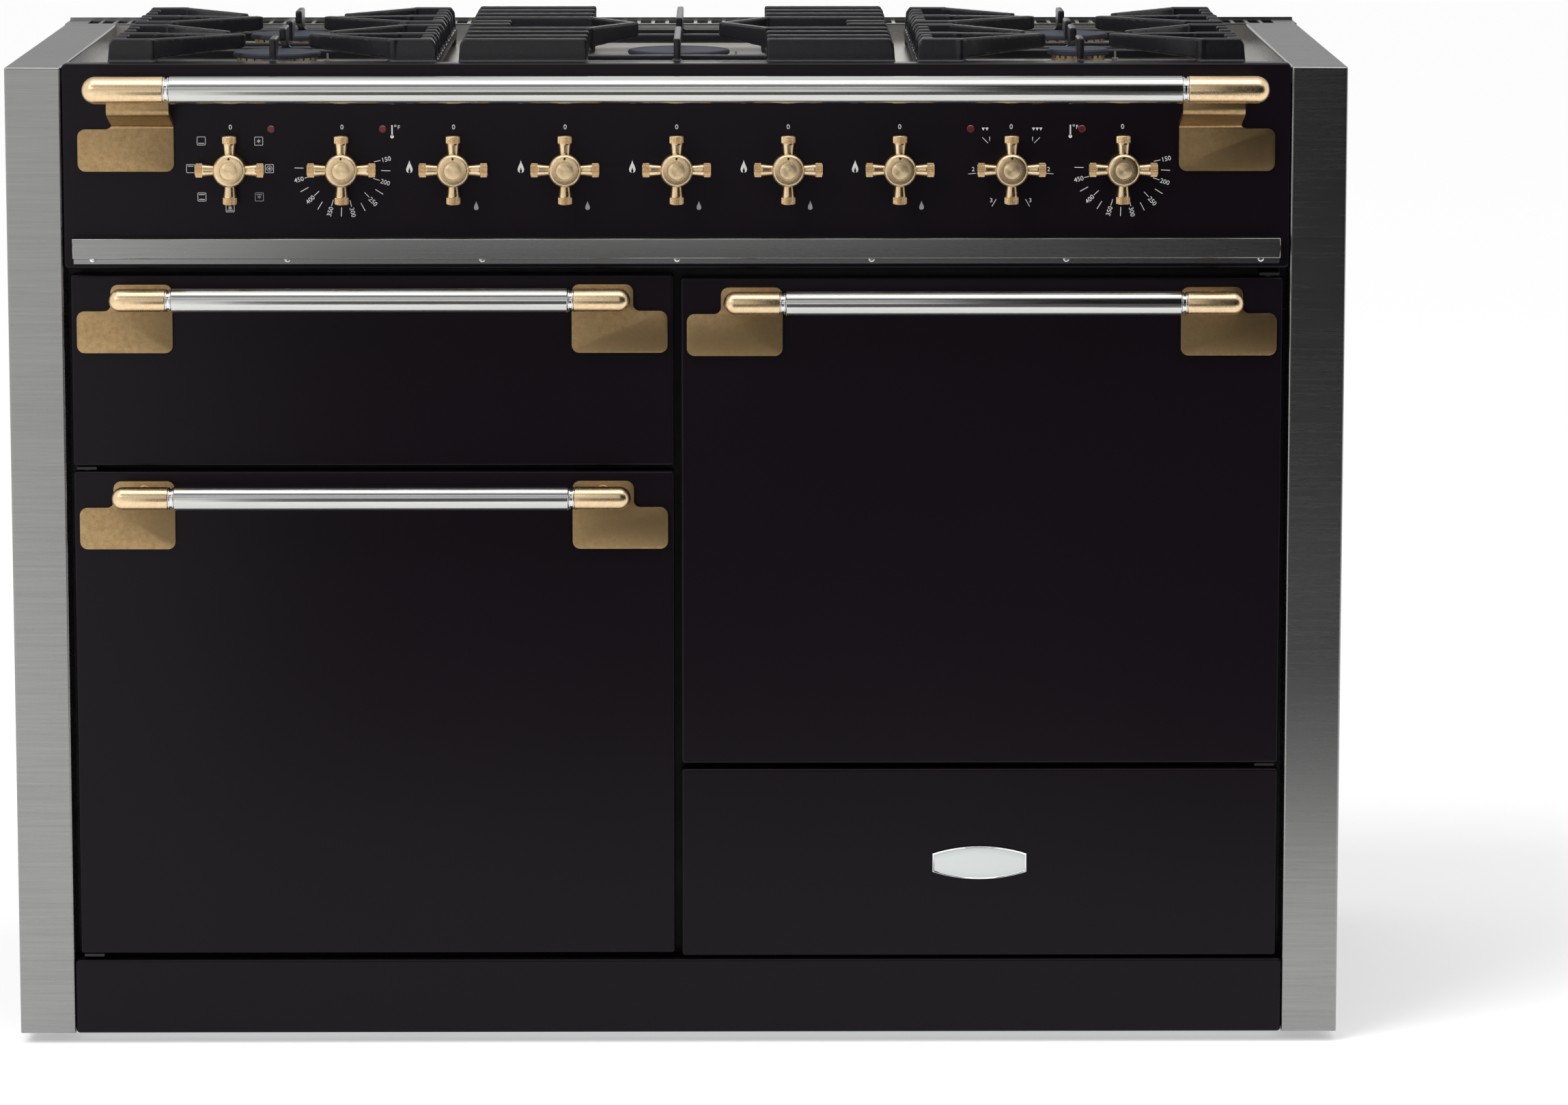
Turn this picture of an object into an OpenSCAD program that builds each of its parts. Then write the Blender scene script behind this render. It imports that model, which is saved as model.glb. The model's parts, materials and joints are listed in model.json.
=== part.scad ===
// Freestanding range cooker: five gas burners under three cast iron grates, a glide-out grill over
// a side-hung oven on the left, a taller side-hung oven over a storage drawer on the right.
// Millimetres. X runs to the right, the front faces -Y, Z is up, and Z = 0 is the floor.
// Depths named y, front or depth are counted backwards from the front face of the side trims.

/* [Body] */
// Width over the side trims
body_w = 1216; // [1160:1:1300]
// Depth from the side trims' front to the back
body_d = 610; // [600:1:680]
// Height of the side trims' top above the floor
hob_h = 903; // [880:1:940]
// Gap between the floor and the casing
floor_gap = 10; // [8:1:30]
// Width of each side trim
trim_w = 51; // [44:1:60]
// Thickness of the folded sheets
sheet_t = 1.5; // [1:0.1:2]
// Depth of a side trim's return behind its front face
trim_return = 48; // [46:1:60]
// Height of the fold along the casing's edges
flange_h = 16; // [12:1:20]

/* [Fronts] */
// Height of the plinth
plinth_h = 69; // [50:1:90]
// Height of the control panel
panel_h = 186.5; // [180:0.5:200]
// Rise of the control panel above the side trims
panel_rise = 3; // [1:0.5:6]
// Height of the grill front and the drawer front
small_front_h = 175.3; // [150:0.1:200]
// Gap between two fronts in one column
row_gap = 5; // [4.6:0.1:6]
// Gap between the plinth and the left column
left_gap = 6; // [5:0.1:8]
// Gap between the plinth and the right column
right_gap = 3; // [2:0.1:6]
// Gap between the grill front and the control panel
top_gap = 5.3; // [4:0.1:8]
// Gap between a front and the side trim
side_gap = 5.8; // [5.5:0.1:8]
// Gap between the two columns
centre_gap = 6.2; // [4:0.1:10]
// Depth of an enamelled front
door_t = 22; // [20:1:26]
// Thickness of the enamelled sheet
enamel_t = 2; // [1.5:0.1:3]
// Corner radius of a front
front_r = 3; // [1:0.5:6]
// Corner radius of the control panel
panel_r = 4.5; // [2:0.5:8]
// Depth of the control panel and the plinth
panel_d = 20; // [16:1:24]
// Width of the flange around a front's open back
rim_w = 16; // [14:1:20]

/* [Doors] */
// Depth of the inner liner of a door
liner_t = 18; // [12:1:20]
// Set-in of the liner from the door's edges
liner_inset = 12; // [9:1:13]
// Thickness of the rope seal
seal_t = 4; // [3:0.5:6]
// Gap between the seal and the body's front frame
seal_gap = 0.4; // [0.3:0.1:1]
// Distance of the hinge axis from the door's outer edge and front
hinge_in = 12; // [11:0.5:13]
// Diameter of the hinge pins
hinge_pin_d = 8; // [6:0.5:9]
// Engaged length of a hinge pin
hinge_pin_l = 11; // [8:1:16]
// Thickness of the hinge plates
hinge_plate_t = 2.4; // [2:0.1:2.6]
// Radial clearance of pins and spindles in their bores
running_gap = 0.05; // [0.02:0.01:0.1]

/* [Handles] */
// Diameter of a door bar's steel tube
bar_d = 22.5; // [18:0.5:25]
// Diameter of a door bar's brass caps
bar_cap_d = 21; // [17:0.5:24]
// Length of a door bar's cap
bar_cap_l = 51; // [30:1:60]
// Length of a collar between tube and cap
collar_l = 5.5; // [3:0.5:8]
// Distance of a door bar's end from the side edge of its front
bar_inset = 39; // [30:1:70]
// Distance of a door bar's axis in front of the doors
bar_out = 45; // [38:1:50]
// Drop of a door bar's axis below the door's top edge
bar_drop = 18.5; // [16:0.5:24]
// Diameter of the top rail's tube
rail_d = 25; // [20:0.5:28]
// Diameter of the top rail's caps
rail_cap_d = 24.6; // [19:0.1:27]
// Length of the top rail's caps
rail_cap_l = 73; // [50:1:80]
// Distance of the top rail's end from the side trim
rail_inset = 24; // [16:1:60]
// Distance of the top rail's axis in front of the body
rail_out = 52; // [48:1:60]
// Drop of the top rail's axis below the control panel's top
rail_drop = 20; // [18:0.5:30]
// Drop of a top rail bracket's plate below the rail's axis
rail_plate_drop = 77.4; // [70:0.2:80]
// Width of a bracket plate
plate_w = 87; // [70:1:90]
// Height of a bracket plate
plate_h = 38.3; // [30:0.1:45]
// Width of the tab that carries the bar
tab_w = 56; // [40:1:60]
// Height of the tab above a door's bracket plate
tab_h = 24.3; // [20:0.1:30]
// Drop of a bracket's top edge below the door's top edge
bracket_drop = 8.5; // [5:0.5:12]
// Thickness of the brackets
bracket_t = 4; // [3:0.5:5]
// Corner radius of the brackets
bracket_r = 7; // [4:0.5:10]

/* [Deflector rail] */
// Height of the deflector rail's front lip
lip_h = 18.4; // [12:0.2:22]
// Distance of the lip in front of the panel
lip_out = 14; // [10:0.5:20]
// Height of the rail's back flange
lip_flange_h = 24.2; // [22:0.2:30]
// Height of the flange's lower edge above the panel's lower edge
lip_rise = 4.7; // [2:0.1:10]
// Thickness of the rail
lip_t = 1.2; // [1:0.1:2]
// Distance of the deflector rail's end from the side trim
lip_inset = 9.5; // [5:0.5:20]
// Number of screws in the rail
screw_count = 7; // [3:1:9]
// Distance of an outer screw from the rail's end
screw_inset = 17.1; // [10:0.1:30]

/* [Knobs] */
// Distance between two knobs
knob_pitch = 101; // [90:0.5:104]
// Drop of the knob axes below the control panel's top
knob_drop = 95.3; // [90:0.1:110]
// Span over two opposite arms
knob_span = 62.4; // [50:0.2:70]
// Diameter of the hub
hub_d = 29.6; // [26:0.2:36]
// Length of the hub
hub_l = 21; // [18:0.5:26]
// Diameter of an arm at the hub
arm_root_d = 10.5; // [8:0.1:12]
// Diameter of an arm at its knurled end
arm_end_d = 12.7; // [10:0.1:14]
// Length of the knurled band
knurl_l = 6.2; // [4:0.1:8]
// Gap between a knob and the panel
knob_gap = 5.5; // [5:0.1:8]
// Diameter of the spindles
spindle_d = 6; // [5:0.5:7]
// Diameter of the spindle holes in the panel
spindle_hole_d = 9; // [8:0.5:12]
// Diameter of the indicator lamps
lamp_d = 6.7; // [5:0.1:9]

/* [Hob] */
// Depth of the hob well below the side trims
well_h = 16; // [12:1:20]
// Depth of the vent grille at the back
vent_d = 58; // [50:1:66]
// Distance of the outer burners outwards from their grate's centre
burner_off = 2; // [0:0.5:4]
// Depth of the front burners
front_burner_y = 131; // [125:1:137]
// Depth of the rear burners
rear_burner_y = 362; // [356:1:368]
// Diameter of the outer burner caps
cap_d = 81; // [70:1:90]
// Diameter of the small front right cap
small_cap_d = 56.5; // [48:0.5:60]
// Diameter of the middle cap
middle_cap_d = 96; // [90:1:110]
// Width of an outer grate
side_grate_w = 300; // [290:1:310]
// Distance of an outer grate from the side trim
grate_side_gap = 39; // [33:1:45]
// Gap between two grates
grate_gap = 19; // [12:1:30]
// Depth of the grates' front edge
grate_front = 35; // [30:1:40]
// Length of the grates from front to back
grate_d = 444; // [440:1:450]
// Height of the grates above the hob
grate_h = 38.7; // [34:0.1:44]
// Thickness of the grates' bars
grate_t = 7; // [6:0.5:9]
// Distance between two vent slots
slot_pitch = 14; // [12:0.5:18]
// Width of a vent slot
slot_w = 10.5; // [6:0.5:11.5]
// Distance of the vent slots from the grille's front edge
slot_front = 6; // [4:0.5:10]
// Distance of the vent slots from the back
slot_back = 8; // [7:0.5:12]

/* [Ovens] */
// Set-in of an oven's mouth from the door's edges
mouth_inset = 34; // [30:1:40]
// Set-in of the grill's mouth above and below
grill_inset = 20; // [18:1:30]
// Depth of the oven cavities
cavity_d = 430; // [380:1:440]
// Wall thickness of the cavities
wall_t = 1.2; // [1:0.1:2]
// Diameter of the shelf rods
shelf_rod_d = 5; // [4:0.5:6]
// Diameter of the fan
fan_d = 150; // [120:1:170]
// Height of the drawer box
drawer_h = 130; // [100:1:140]
// Length of the drawer box
drawer_l = 460; // [400:1:500]

/* [Hidden] */
$fn = 48;

// Colours
enamel = "#201b20";
steel = "#96958f";
dark_steel = "#55554f";
galvanised = "#8d9092";
brass = "#b08d55";
iron = "#232427";
vitreous = "#34363c";

// Body
front_y = -(body_d - rail_out - rail_d / 2) / 2;
outer_x = body_w / 2;
inner_x = outer_x - trim_w;
panel_top = hob_h + panel_rise;
panel_z = panel_top - panel_h;
plinth_top = floor_gap + plinth_h;
hob_z = hob_h - well_h;
trim_top_d = body_d - vent_d;
slot_l = vent_d - slot_front - slot_back;
frame_y = door_t + liner_t + seal_t + seal_gap;
back_y = body_d - sheet_t;
floor_z = floor_gap + sheet_t;

// Fronts
front_w = inner_x - side_gap - centre_gap / 2;
front_x = centre_gap / 2 + front_w / 2;
left_door_z = plinth_top + left_gap;
grill_z = panel_z - top_gap - small_front_h;
door_h = grill_z - row_gap - left_door_z;
drawer_z = plinth_top + right_gap;
right_door_z = drawer_z + small_front_h + row_gap;
hinge_x = front_x + front_w / 2 - hinge_in;

// Cavities: [centre x, lower edge, width, height]
mouth_w = front_w - 2 * mouth_inset;
left_mouth = [-front_x, left_door_z + mouth_inset, mouth_w, door_h - 2 * mouth_inset];
right_mouth = [front_x, right_door_z + mouth_inset, mouth_w, door_h - 2 * mouth_inset];
grill_mouth = [-front_x, grill_z + grill_inset, mouth_w, small_front_h - 2 * grill_inset];
cavity_y = frame_y + sheet_t;
ledge_w = 10;
ledge_h = 5;
glide_gap = 0.5;
seat_gap = 0.3;
shelf_w = mouth_w - 2 * glide_gap;
drawer_w = mouth_w + 8;
runner_h = 14;
drawer_box_z = drawer_z + 16;
drawer_mouth = [front_x, drawer_z + 8, drawer_w + 2 * runner_h, small_front_h - 16];

// Handles
bar_half = front_w / 2 - bar_inset;
rail_half = inner_x - rail_inset;
rail_z = panel_top - rail_drop;
rail_plate_z = rail_z - rail_plate_drop;
plate_x = bar_half + (tab_w - bar_cap_l) - collar_l / 2 - tab_w;

// Controls
knob_z = panel_top - knob_drop;
gas_knobs = [3, 4, 5, 6, 7];
oven_knobs = [1, 2, 8, 9];
gear_d = 42;
bore_depth = 34;
spindle_grip = 12;
spindle_in = 30;
lamp_z = knob_z + 36;
lamp_off = 36.8;
lamp_x = [for (k = [[1, 1], [2, 1], [8, -1], [9, -1]]) knob_x(k[0]) + k[1] * lamp_off];
gas_pipe_x = 150;
gas_thread_d = 20.9;
gas_cut = 64;
gland_x = 420;
gland_z = 720;
gland_bore_d = 20;

// Grates
side_grate_x = inner_x - grate_side_gap - side_grate_w / 2;
middle_grate_w = 2 * (side_grate_x - side_grate_w / 2 - grate_gap);
rail_top = 18;
rail_low = 9;
row_low = 14;
finger_low = 20;
frame_ledge = 2.5;

// Burners: [x, depth, cap diameter, cap thickness, cap top above the hob, knob]
burner_x = side_grate_x + burner_off;
burners = [[-burner_x, front_burner_y, cap_d, 4.5, 20.5, 3], [-burner_x, rear_burner_y, cap_d, 4.5, 20.5, 4],
    [0, grate_front + grate_d / 2, middle_cap_d, 4.5, 13, 5],
    [burner_x, rear_burner_y, cap_d, 4.5, 20.5, 6], [burner_x, front_burner_y, small_cap_d, 5.5, 23, 7]];
ring_h = 5.5;
cup_h = 30;

function knob_x(n) = (n - 5) * knob_pitch;

// A block from its low corner: x, depth and height, then its size
module block(x, y, z, w, d, h) translate([x, front_y + y, z]) cube([w, d, h]);

// A flat XZ shape stood up from depth y back to depth y + t
module upright(y, t) translate([0, front_y + y + t, 0]) rotate([90, 0, 0]) linear_extrude(t) children();

// The right-hand piece and its mirror image on the left
module both() {
    children();
    mirror([1, 0, 0]) children();
}

// A straight round rod between two points
module rod(p, q, d) {
    v = q - p;
    translate(p) rotate([0, acos(v[2] / norm(v)), atan2(v[1], v[0])]) cylinder(h = norm(v), d = d);
}

// A rod along depth at x, z from depth y, of length l
module pin_y(x, y, z, l, d) translate([x, front_y + y, z]) rotate([-90, 0, 0]) cylinder(h = l, d = d);

// A rectangle with round corners, from its lower left corner
module round_rect(w, h, r) {
    translate([r, 0]) square([w - 2 * r, h]);
    translate([0, r]) square([w, h - 2 * r]);
    for (x = [r, w - r], z = [r, h - r]) translate([x, z]) circle(r);
}

// ---- Casing ----

module side_trims() color(steel) both() difference() {
    block(inner_x, 0, floor_gap, trim_w, trim_top_d, hob_h - floor_gap);
    block(inner_x + sheet_t, sheet_t, floor_gap - 1, trim_w - 2 * sheet_t, body_d, hob_h - floor_gap + 1 - sheet_t);
    block(outer_x - sheet_t - 1, trim_return, floor_gap - 1, sheet_t + 2, body_d, hob_h - floor_gap + 1 - flange_h);
    block(inner_x - 1, trim_return, floor_gap - 1, sheet_t + 2, body_d, hob_z - floor_gap + 1 - sheet_t);
}

module side_panels() color(enamel) both()
    block(outer_x - 2 * sheet_t, sheet_t, floor_gap, sheet_t, back_y - sheet_t, hob_h - sheet_t - floor_gap);

tray_x = outer_x - 2 * sheet_t;
foot_x = outer_x - 90;
foot_y = [80, body_d - 60];
foot_stem_d = 10;
foot_d = 40;
foot_t = 6;
stem_l = 28;
nut_l = 8;

module base_tray() color(galvanised) {
    difference() {
        union() {
            block(-inner_x, panel_d, floor_gap, 2 * inner_x, trim_return, sheet_t);
            block(-tray_x, trim_return, floor_gap, 2 * tray_x, back_y - trim_return, sheet_t);
            block(-inner_x, panel_d, floor_gap, 2 * inner_x, sheet_t, plinth_h - row_gap);
            block(-tray_x, back_y - sheet_t, floor_gap, 2 * tray_x, sheet_t, 3 * flange_h);
        }
        for (x = [-foot_x, foot_x], y = foot_y)
            translate([x, front_y + y, floor_gap - 1]) cylinder(h = sheet_t + 2, d = foot_stem_d + 1);
    }
    for (s = [-1, 1]) drawer_runner(s);
}

// A fixed drawer runner: an upright wall on the base tray with an inward ledge
module drawer_runner(s) {
    x = front_x + s * (drawer_w / 2 + runner_h - sheet_t / 2);
    w = runner_h - glide_gap - sheet_t / 2;
    z = drawer_box_z + drawer_h / 2 - seat_gap;
    block(x - sheet_t / 2, cavity_y, floor_z, sheet_t, drawer_l, z - floor_z);
    block(s > 0 ? x - w : x, cavity_y, z - 3, w, drawer_l, 3);
}

module levelling_feet() color(dark_steel) for (x = [-foot_x, foot_x], y = foot_y) translate([x, front_y + y, 0]) {
    cylinder(h = foot_t, d = foot_d);
    cylinder(h = floor_gap, d = 1.7 * foot_stem_d, $fn = 6);
    cylinder(h = floor_gap + stem_l, d = foot_stem_d);
    translate([0, 0, floor_z]) cylinder(h = nut_l, d = 1.9 * foot_stem_d, $fn = 6);
}

gland_cut = 30;
sheet_seam = 0.3;

module back_sheet(x, z, w, h) block(x, back_y, z, w, sheet_t, h);

module back_panel() color(galvanised) {
    edge = tray_x + sheet_t;
    top = hob_h - sheet_t;
    cut_z = gland_z - gland_cut / 2;
    cut_x = gland_x - gland_cut / 2;
    difference() {
        back_sheet(-edge, floor_gap, 2 * edge, cut_z - floor_gap);
        for (x = [-4:4], row = [0, 1]) block(x * 110 - 40, back_y - 1, 560 + row * 14, 80, sheet_t + 2, 6);
    }
    difference() {
        back_sheet(-edge, cut_z + sheet_seam, cut_x + edge, top - cut_z - sheet_seam);
        block(gas_pipe_x - gas_cut / 2, back_y - 1, knob_z - gas_cut / 2, gas_cut, sheet_t + 2, gas_cut);
    }
    back_sheet(cut_x + gland_cut, cut_z + sheet_seam, edge - cut_x - gland_cut, top - cut_z - sheet_seam);
    back_sheet(cut_x + sheet_seam, cut_z + gland_cut, gland_cut - 2 * sheet_seam, top - cut_z - gland_cut);
}

module plinth() color(enamel) difference() {
    upright(0, panel_d) translate([-inner_x + 0.4, floor_gap]) round_rect(2 * inner_x - 0.8, plinth_h, front_r + 0.5);
    block(-inner_x + 0.4 + enamel_t, enamel_t, floor_gap + enamel_t,
        2 * (inner_x - 0.4 - enamel_t), panel_d, plinth_h - 2 * enamel_t);
}

module mouth(m, y, t, grow = 0)
    block(m[0] - m[2] / 2 - grow, y, m[1] - grow, m[2] + 2 * grow, t, m[3] + 2 * grow);

frame_lap = 14;
frame_shelf_d = 60;
frame_joint_x = 12;

// The frame is welded from flat bars; each bar keeps a hairline from the next one
module frame_bar(x1, x2, z1, z2) block(x1, frame_y, z1, x2 - x1, sheet_t, z2 - z1);

module frame_column(x1, x2, low, high, top) {
    frame_bar(x1, x2, floor_z, low[1]);
    frame_bar(x1, x2, low[1] + low[3], high[1]);
    for (m = [low, high]) {
        frame_bar(x1, m[0] - m[2] / 2, m[1] + sheet_seam, m[1] + m[3] - sheet_seam);
        frame_bar(m[0] + m[2] / 2, x2, m[1] + sheet_seam, m[1] + m[3] - sheet_seam);
    }
    if (top > high[1] + high[3]) frame_bar(x1, x2, high[1] + high[3], top - sheet_seam);
}

module front_frame() color(enamel) {
    top_bar_z = grill_mouth[1] + grill_mouth[3];
    frame_top = panel_z + frame_lap;
    frame_column(-inner_x, frame_joint_x, left_mouth, grill_mouth, top_bar_z);
    frame_column(frame_joint_x + sheet_seam, inner_x, drawer_mouth, right_mouth, top_bar_z);
    frame_bar(-inner_x, inner_x, top_bar_z, frame_top);
    block(-inner_x, frame_y + sheet_t, frame_top - sheet_t, 2 * inner_x, frame_shelf_d, sheet_t);
}

// ---- Door hinges: plates on the front frame with a pin into the door's top and bottom ----

module hinge_plate(side, z, up) {
    w = 18;
    h = up ? 1 : -1;
    x = side * hinge_x;
    block(x - w / 2, hinge_in - 7, z, w, frame_y - hinge_in + 7, hinge_plate_t);
    block(x - w / 2, frame_y - 2, z + hinge_plate_t / 2 - 7, w, 2, 14);
    translate([x, front_y + hinge_in, up ? z + hinge_plate_t : z - hinge_pin_l])
        cylinder(h = hinge_pin_l, d = hinge_pin_d);
}

left_hinge_z = [left_door_z - 1.2 - hinge_plate_t, left_door_z + door_h + 1.2];
right_hinge_z = [right_door_z - 1.2 - hinge_plate_t, right_door_z + door_h + 1.2];

module door_hinges() color(dark_steel) {
    hinge_plate(-1, left_hinge_z[0], true);
    hinge_plate(-1, left_hinge_z[1], false);
    hinge_plate(1, right_hinge_z[0], true);
    hinge_plate(1, right_hinge_z[1], false);
}

// ---- Control panel, rail and knobs ----

module control_panel() color(enamel) difference() {
    w = inner_x - 0.5;
    upright(0, panel_d) translate([-w, panel_z]) round_rect(2 * w, panel_h, panel_r);
    block(-w + enamel_t, enamel_t, panel_z + enamel_t, 2 * (w - enamel_t), panel_d, panel_h - 2 * enamel_t - well_h - panel_rise);
    block(-w + enamel_t, enamel_t, panel_z + panel_h - 2 * enamel_t - well_h - panel_rise, 2 * (w - enamel_t),
        panel_d - 2 * enamel_t, well_h + panel_rise + enamel_t);
    for (n = [1:9]) pin_y(knob_x(n), -1, knob_z, enamel_t + 2, spindle_hole_d);
    for (x = lamp_x) pin_y(x, -1, lamp_z, enamel_t + 2, lamp_d + 0.4);
    for (i = [0:screw_count - 1]) pin_y(screw_x(i), -1, screw_z, enamel_t + 2, 4);
}

screw_z = panel_z + lip_rise + 4.2;
lip_half = inner_x - lip_inset;
screw_pitch = 2 * (lip_half - screw_inset) / (screw_count - 1);
function screw_x(i) = (i - (screw_count - 1) / 2) * screw_pitch;

module deflector_rail() color(steel) difference() {
    z = panel_z + lip_rise;
    top = z + lip_flange_h;
    translate([-lip_half, front_y, 0]) rotate([90, 0, 90]) linear_extrude(2 * lip_half) polygon([[0, z], [0, top],
        [-lip_out, top], [-lip_out, top - lip_h], [lip_t - lip_out, top - lip_h], [lip_t - lip_out, top - lip_t],
        [-lip_t, top - lip_t], [-lip_t, z]]);
    for (i = [0:screw_count - 1]) pin_y(screw_x(i), -lip_out / 2, screw_z, lip_out, 4.2);
}

module deflector_screws() color("silver") for (i = [0:screw_count - 1]) {
    pin_y(screw_x(i), -lip_t - 1.8, screw_z, 1.8, 6.2);
    pin_y(screw_x(i), -lip_t, screw_z, lip_t + 8, 3.8);
}

// A bar along X on the origin: steel tube, a beaded collar and a round-nosed brass cap at each end
module grip_bar(half, tube_d, end_d, cap_l) {
    tube_half = half - cap_l - collar_l;
    color(steel) rotate([0, 90, 0]) cylinder(h = 2 * tube_half, d = tube_d, center = true);
    for (s = [0, 1]) mirror([s, 0, 0]) translate([tube_half, 0, 0]) rotate([0, 90, 0]) {
        color("silver") collar(end_d);
        color(brass) translate([0, 0, collar_l]) {
            cylinder(h = cap_l - end_d / 2, d = end_d);
            translate([0, 0, cap_l - end_d / 2]) half_ball(end_d / 2);
        }
    }
}

module half_ball(r) rotate_extrude() intersection() {
    circle(r);
    square(r);
}

module collar(d) {
    bead = collar_l / 3;
    cylinder(h = bead, d = d - 1);
    translate([0, 0, bead]) cylinder(h = bead, d = d - 3);
    translate([0, 0, 2 * bead]) cylinder(h = bead, d = d - 1);
}

// Front view of a bracket, inner edge at x = 0 and the ear to the right
module bracket_outline(tab) {
    round_rect(plate_w, plate_h, bracket_r);
    round_rect(tab_w, plate_h + tab, bracket_r);
    difference() {
        translate([tab_w - 1, plate_h - 1]) square(bracket_r);
        translate([tab_w + bracket_r - 1, plate_h + bracket_r - 1]) circle(bracket_r - 1);
    }
}

module door_brackets(x, top) color(brass) translate([x, 0, 0]) both() difference() {
    union() {
        upright(-bracket_t, bracket_t) translate([plate_x, top - bracket_drop - plate_h - tab_h]) bracket_outline(tab_h);
        pin_y(plate_x + tab_w / 2, -bar_out, top - bar_drop, bar_out - bracket_t / 2, 13);
    }
    translate([plate_x, front_y - bar_out, top - bar_drop]) rotate([0, 90, 0]) cylinder(h = tab_w, d = bar_cap_d + 0.2);
}

module door_bar(x, top) translate([x, front_y - bar_out, top - bar_drop]) grip_bar(bar_half, bar_d, bar_cap_d, bar_cap_l);

module rail_bar() translate([0, front_y - rail_out, rail_z]) grip_bar(rail_half, rail_d, rail_cap_d, rail_cap_l);

// Side view of a top rail bracket's neck: up the plate, forward in an S and up into the rail
bend_r = 8;
neck_low = rail_plate_z + plate_h;
neck_high = rail_z - rail_cap_d / 2 - 4;
neck_front = -rail_out - bracket_t / 2;
neck_run = -neck_front - 2 * bend_r;
neck_tilt = atan2(neck_high - neck_low, neck_run) - asin((2 * bend_r - bracket_t) / norm([neck_high - neck_low, neck_run]));
function bend(cy, cz, r, a, b) = [for (i = [0:6]) [cy + r * cos(a + (b - a) * i / 6), cz + r * sin(a + (b - a) * i / 6)]];

module neck_profile() {
    r_in = bend_r - bracket_t;
    y = neck_front + bend_r;
    polygon(concat([[0, neck_low - 6]], bend(-bend_r, neck_low, bend_r, 0, 90 - neck_tilt),
        bend(y, neck_high, r_in, 270 - neck_tilt, 180), [[neck_front + bracket_t, rail_z], [neck_front, rail_z]],
        bend(y, neck_high, bend_r, 180, 270 - neck_tilt), bend(-bend_r, neck_low, r_in, 90 - neck_tilt, 0),
        [[-bracket_t, neck_low - 6]]));
}

module rail_brackets() color(brass) both() difference() {
    x = rail_half - rail_cap_l - collar_l + 0.7;
    union() {
        upright(-bracket_t, bracket_t) translate([x, rail_plate_z]) bracket_outline(0);
        translate([x, front_y, 0]) rotate([90, 0, 90]) linear_extrude(tab_w) neck_profile();
    }
    translate([x - 1, front_y - rail_out, rail_z]) rotate([0, 90, 0]) cylinder(h = tab_w + 2, d = rail_cap_d + 0.2);
}

// A cross knob with its axis towards -Y and its pointer dot on top
module cross_knob(n) color(brass) translate([knob_x(n), front_y - knob_gap, knob_z]) rotate([90, 0, 0]) difference() {
    arm_l = knob_span / 2 - 1.2;
    chamfer = 1.9;
    union() {
        cylinder(h = hub_l - chamfer, d = hub_d);
        translate([0, 0, hub_l - chamfer]) cylinder(h = chamfer, d1 = hub_d, d2 = hub_d - 2 * chamfer);
        for (a = [0:90:270]) rotate([0, 0, a]) translate([0, 0, hub_l / 2]) rotate([0, 90, 0]) {
            cylinder(h = arm_l - knurl_l, d1 = arm_root_d - 0.6, d2 = arm_end_d - 0.8);
            translate([0, 0, arm_l - knurl_l]) cylinder(h = knurl_l, d = arm_end_d);
            translate([0, 0, arm_l]) cylinder(h = 1.2, d1 = arm_end_d, d2 = arm_end_d - 2.4);
        }
    }
    translate([0, 0, -1]) cylinder(h = spindle_grip + 1, d = spindle_d + 2 * running_gap);
    translate([0, 0, hub_l - 0.6]) difference() {
        cylinder(h = 1, d = 17);
        translate([0, 0, -1]) cylinder(h = 3, d = 14.8);
    }
    translate([0, 11.2, hub_l - 3]) cylinder(h = 4, d = 2.1);
}

// A spindle from inside the knob, through the panel and into the control behind it
module spindle(n) color("silver")
    pin_y(knob_x(n), 0.1 - knob_gap - spindle_grip, knob_z, spindle_grip + knob_gap + spindle_in, spindle_d);

module oven_knob(n) {
    cross_knob(n);
    spindle(n);
}

module indicator_lamps() for (x = lamp_x) {
    color("#8c0018") translate([x, front_y, lamp_z]) rotate([90, 0, 0]) {
        translate([0, 0, -enamel_t]) cylinder(h = enamel_t + 0.6, d = lamp_d);
        translate([0, 0, 0.6]) cylinder(h = 0.6, d1 = lamp_d, d2 = lamp_d - 1.6);
        translate([0, 0, -enamel_t - 16]) cylinder(h = 16, d = lamp_d + 3);
    }
}

// Gas valves with their manifold and pipes, and the oven switches, all behind the panel
module control_gear() color(galvanised) {
    for (n = gas_knobs) difference() {
        block(knob_x(n) - 13, enamel_t, knob_z - 17, 26, gear_d, 34);
        spindle_bore(n);
    }
    for (n = oven_knobs) difference() {
        pin_y(knob_x(n), enamel_t, knob_z, gear_d, 46);
        spindle_bore(n);
    }
    y = enamel_t + gear_d;
    block(knob_x(3) - 20, y, knob_z - 9, knob_x(7) - knob_x(3) + 40, 18, 18);
    pin_y(gas_pipe_x, y + 18, knob_z, back_y - y - 48, 15);
    difference() {
        pin_y(gas_pipe_x, back_y - 30, knob_z, body_d - back_y + 30, gas_thread_d);
        pin_y(gas_pipe_x, back_y - 28, knob_z, body_d, 13);
    }
    for (b = burners) burner_pipe(b);
    difference() {
        pin_y(gland_x, back_y - 12, gland_z, 12, gland_cut + 14);
        pin_y(gland_x, back_y - 13, gland_z, 14, gland_bore_d);
    }
}

module spindle_bore(n) pin_y(knob_x(n), 0, knob_z, bore_depth + enamel_t, spindle_d + 2 * running_gap);

// An 8 mm pipe that rises from its valve, turns in an elbow block and runs under the burner's cup
module burner_pipe(b) {
    x = knob_x(b[5]);
    y = front_y + enamel_t + 20;
    z = hob_z - sheet_t - cup_h - 4;
    rod([x, y, knob_z + 17], [x, y, z], 8);
    translate([x - 6, y - 6, z - 6]) cube(12);
    rod([x, y, z], [b[0], front_y + b[1], z], 8);
}

// ---- Hob ----

function cup_d(b) = b[2] + 4;

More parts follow.
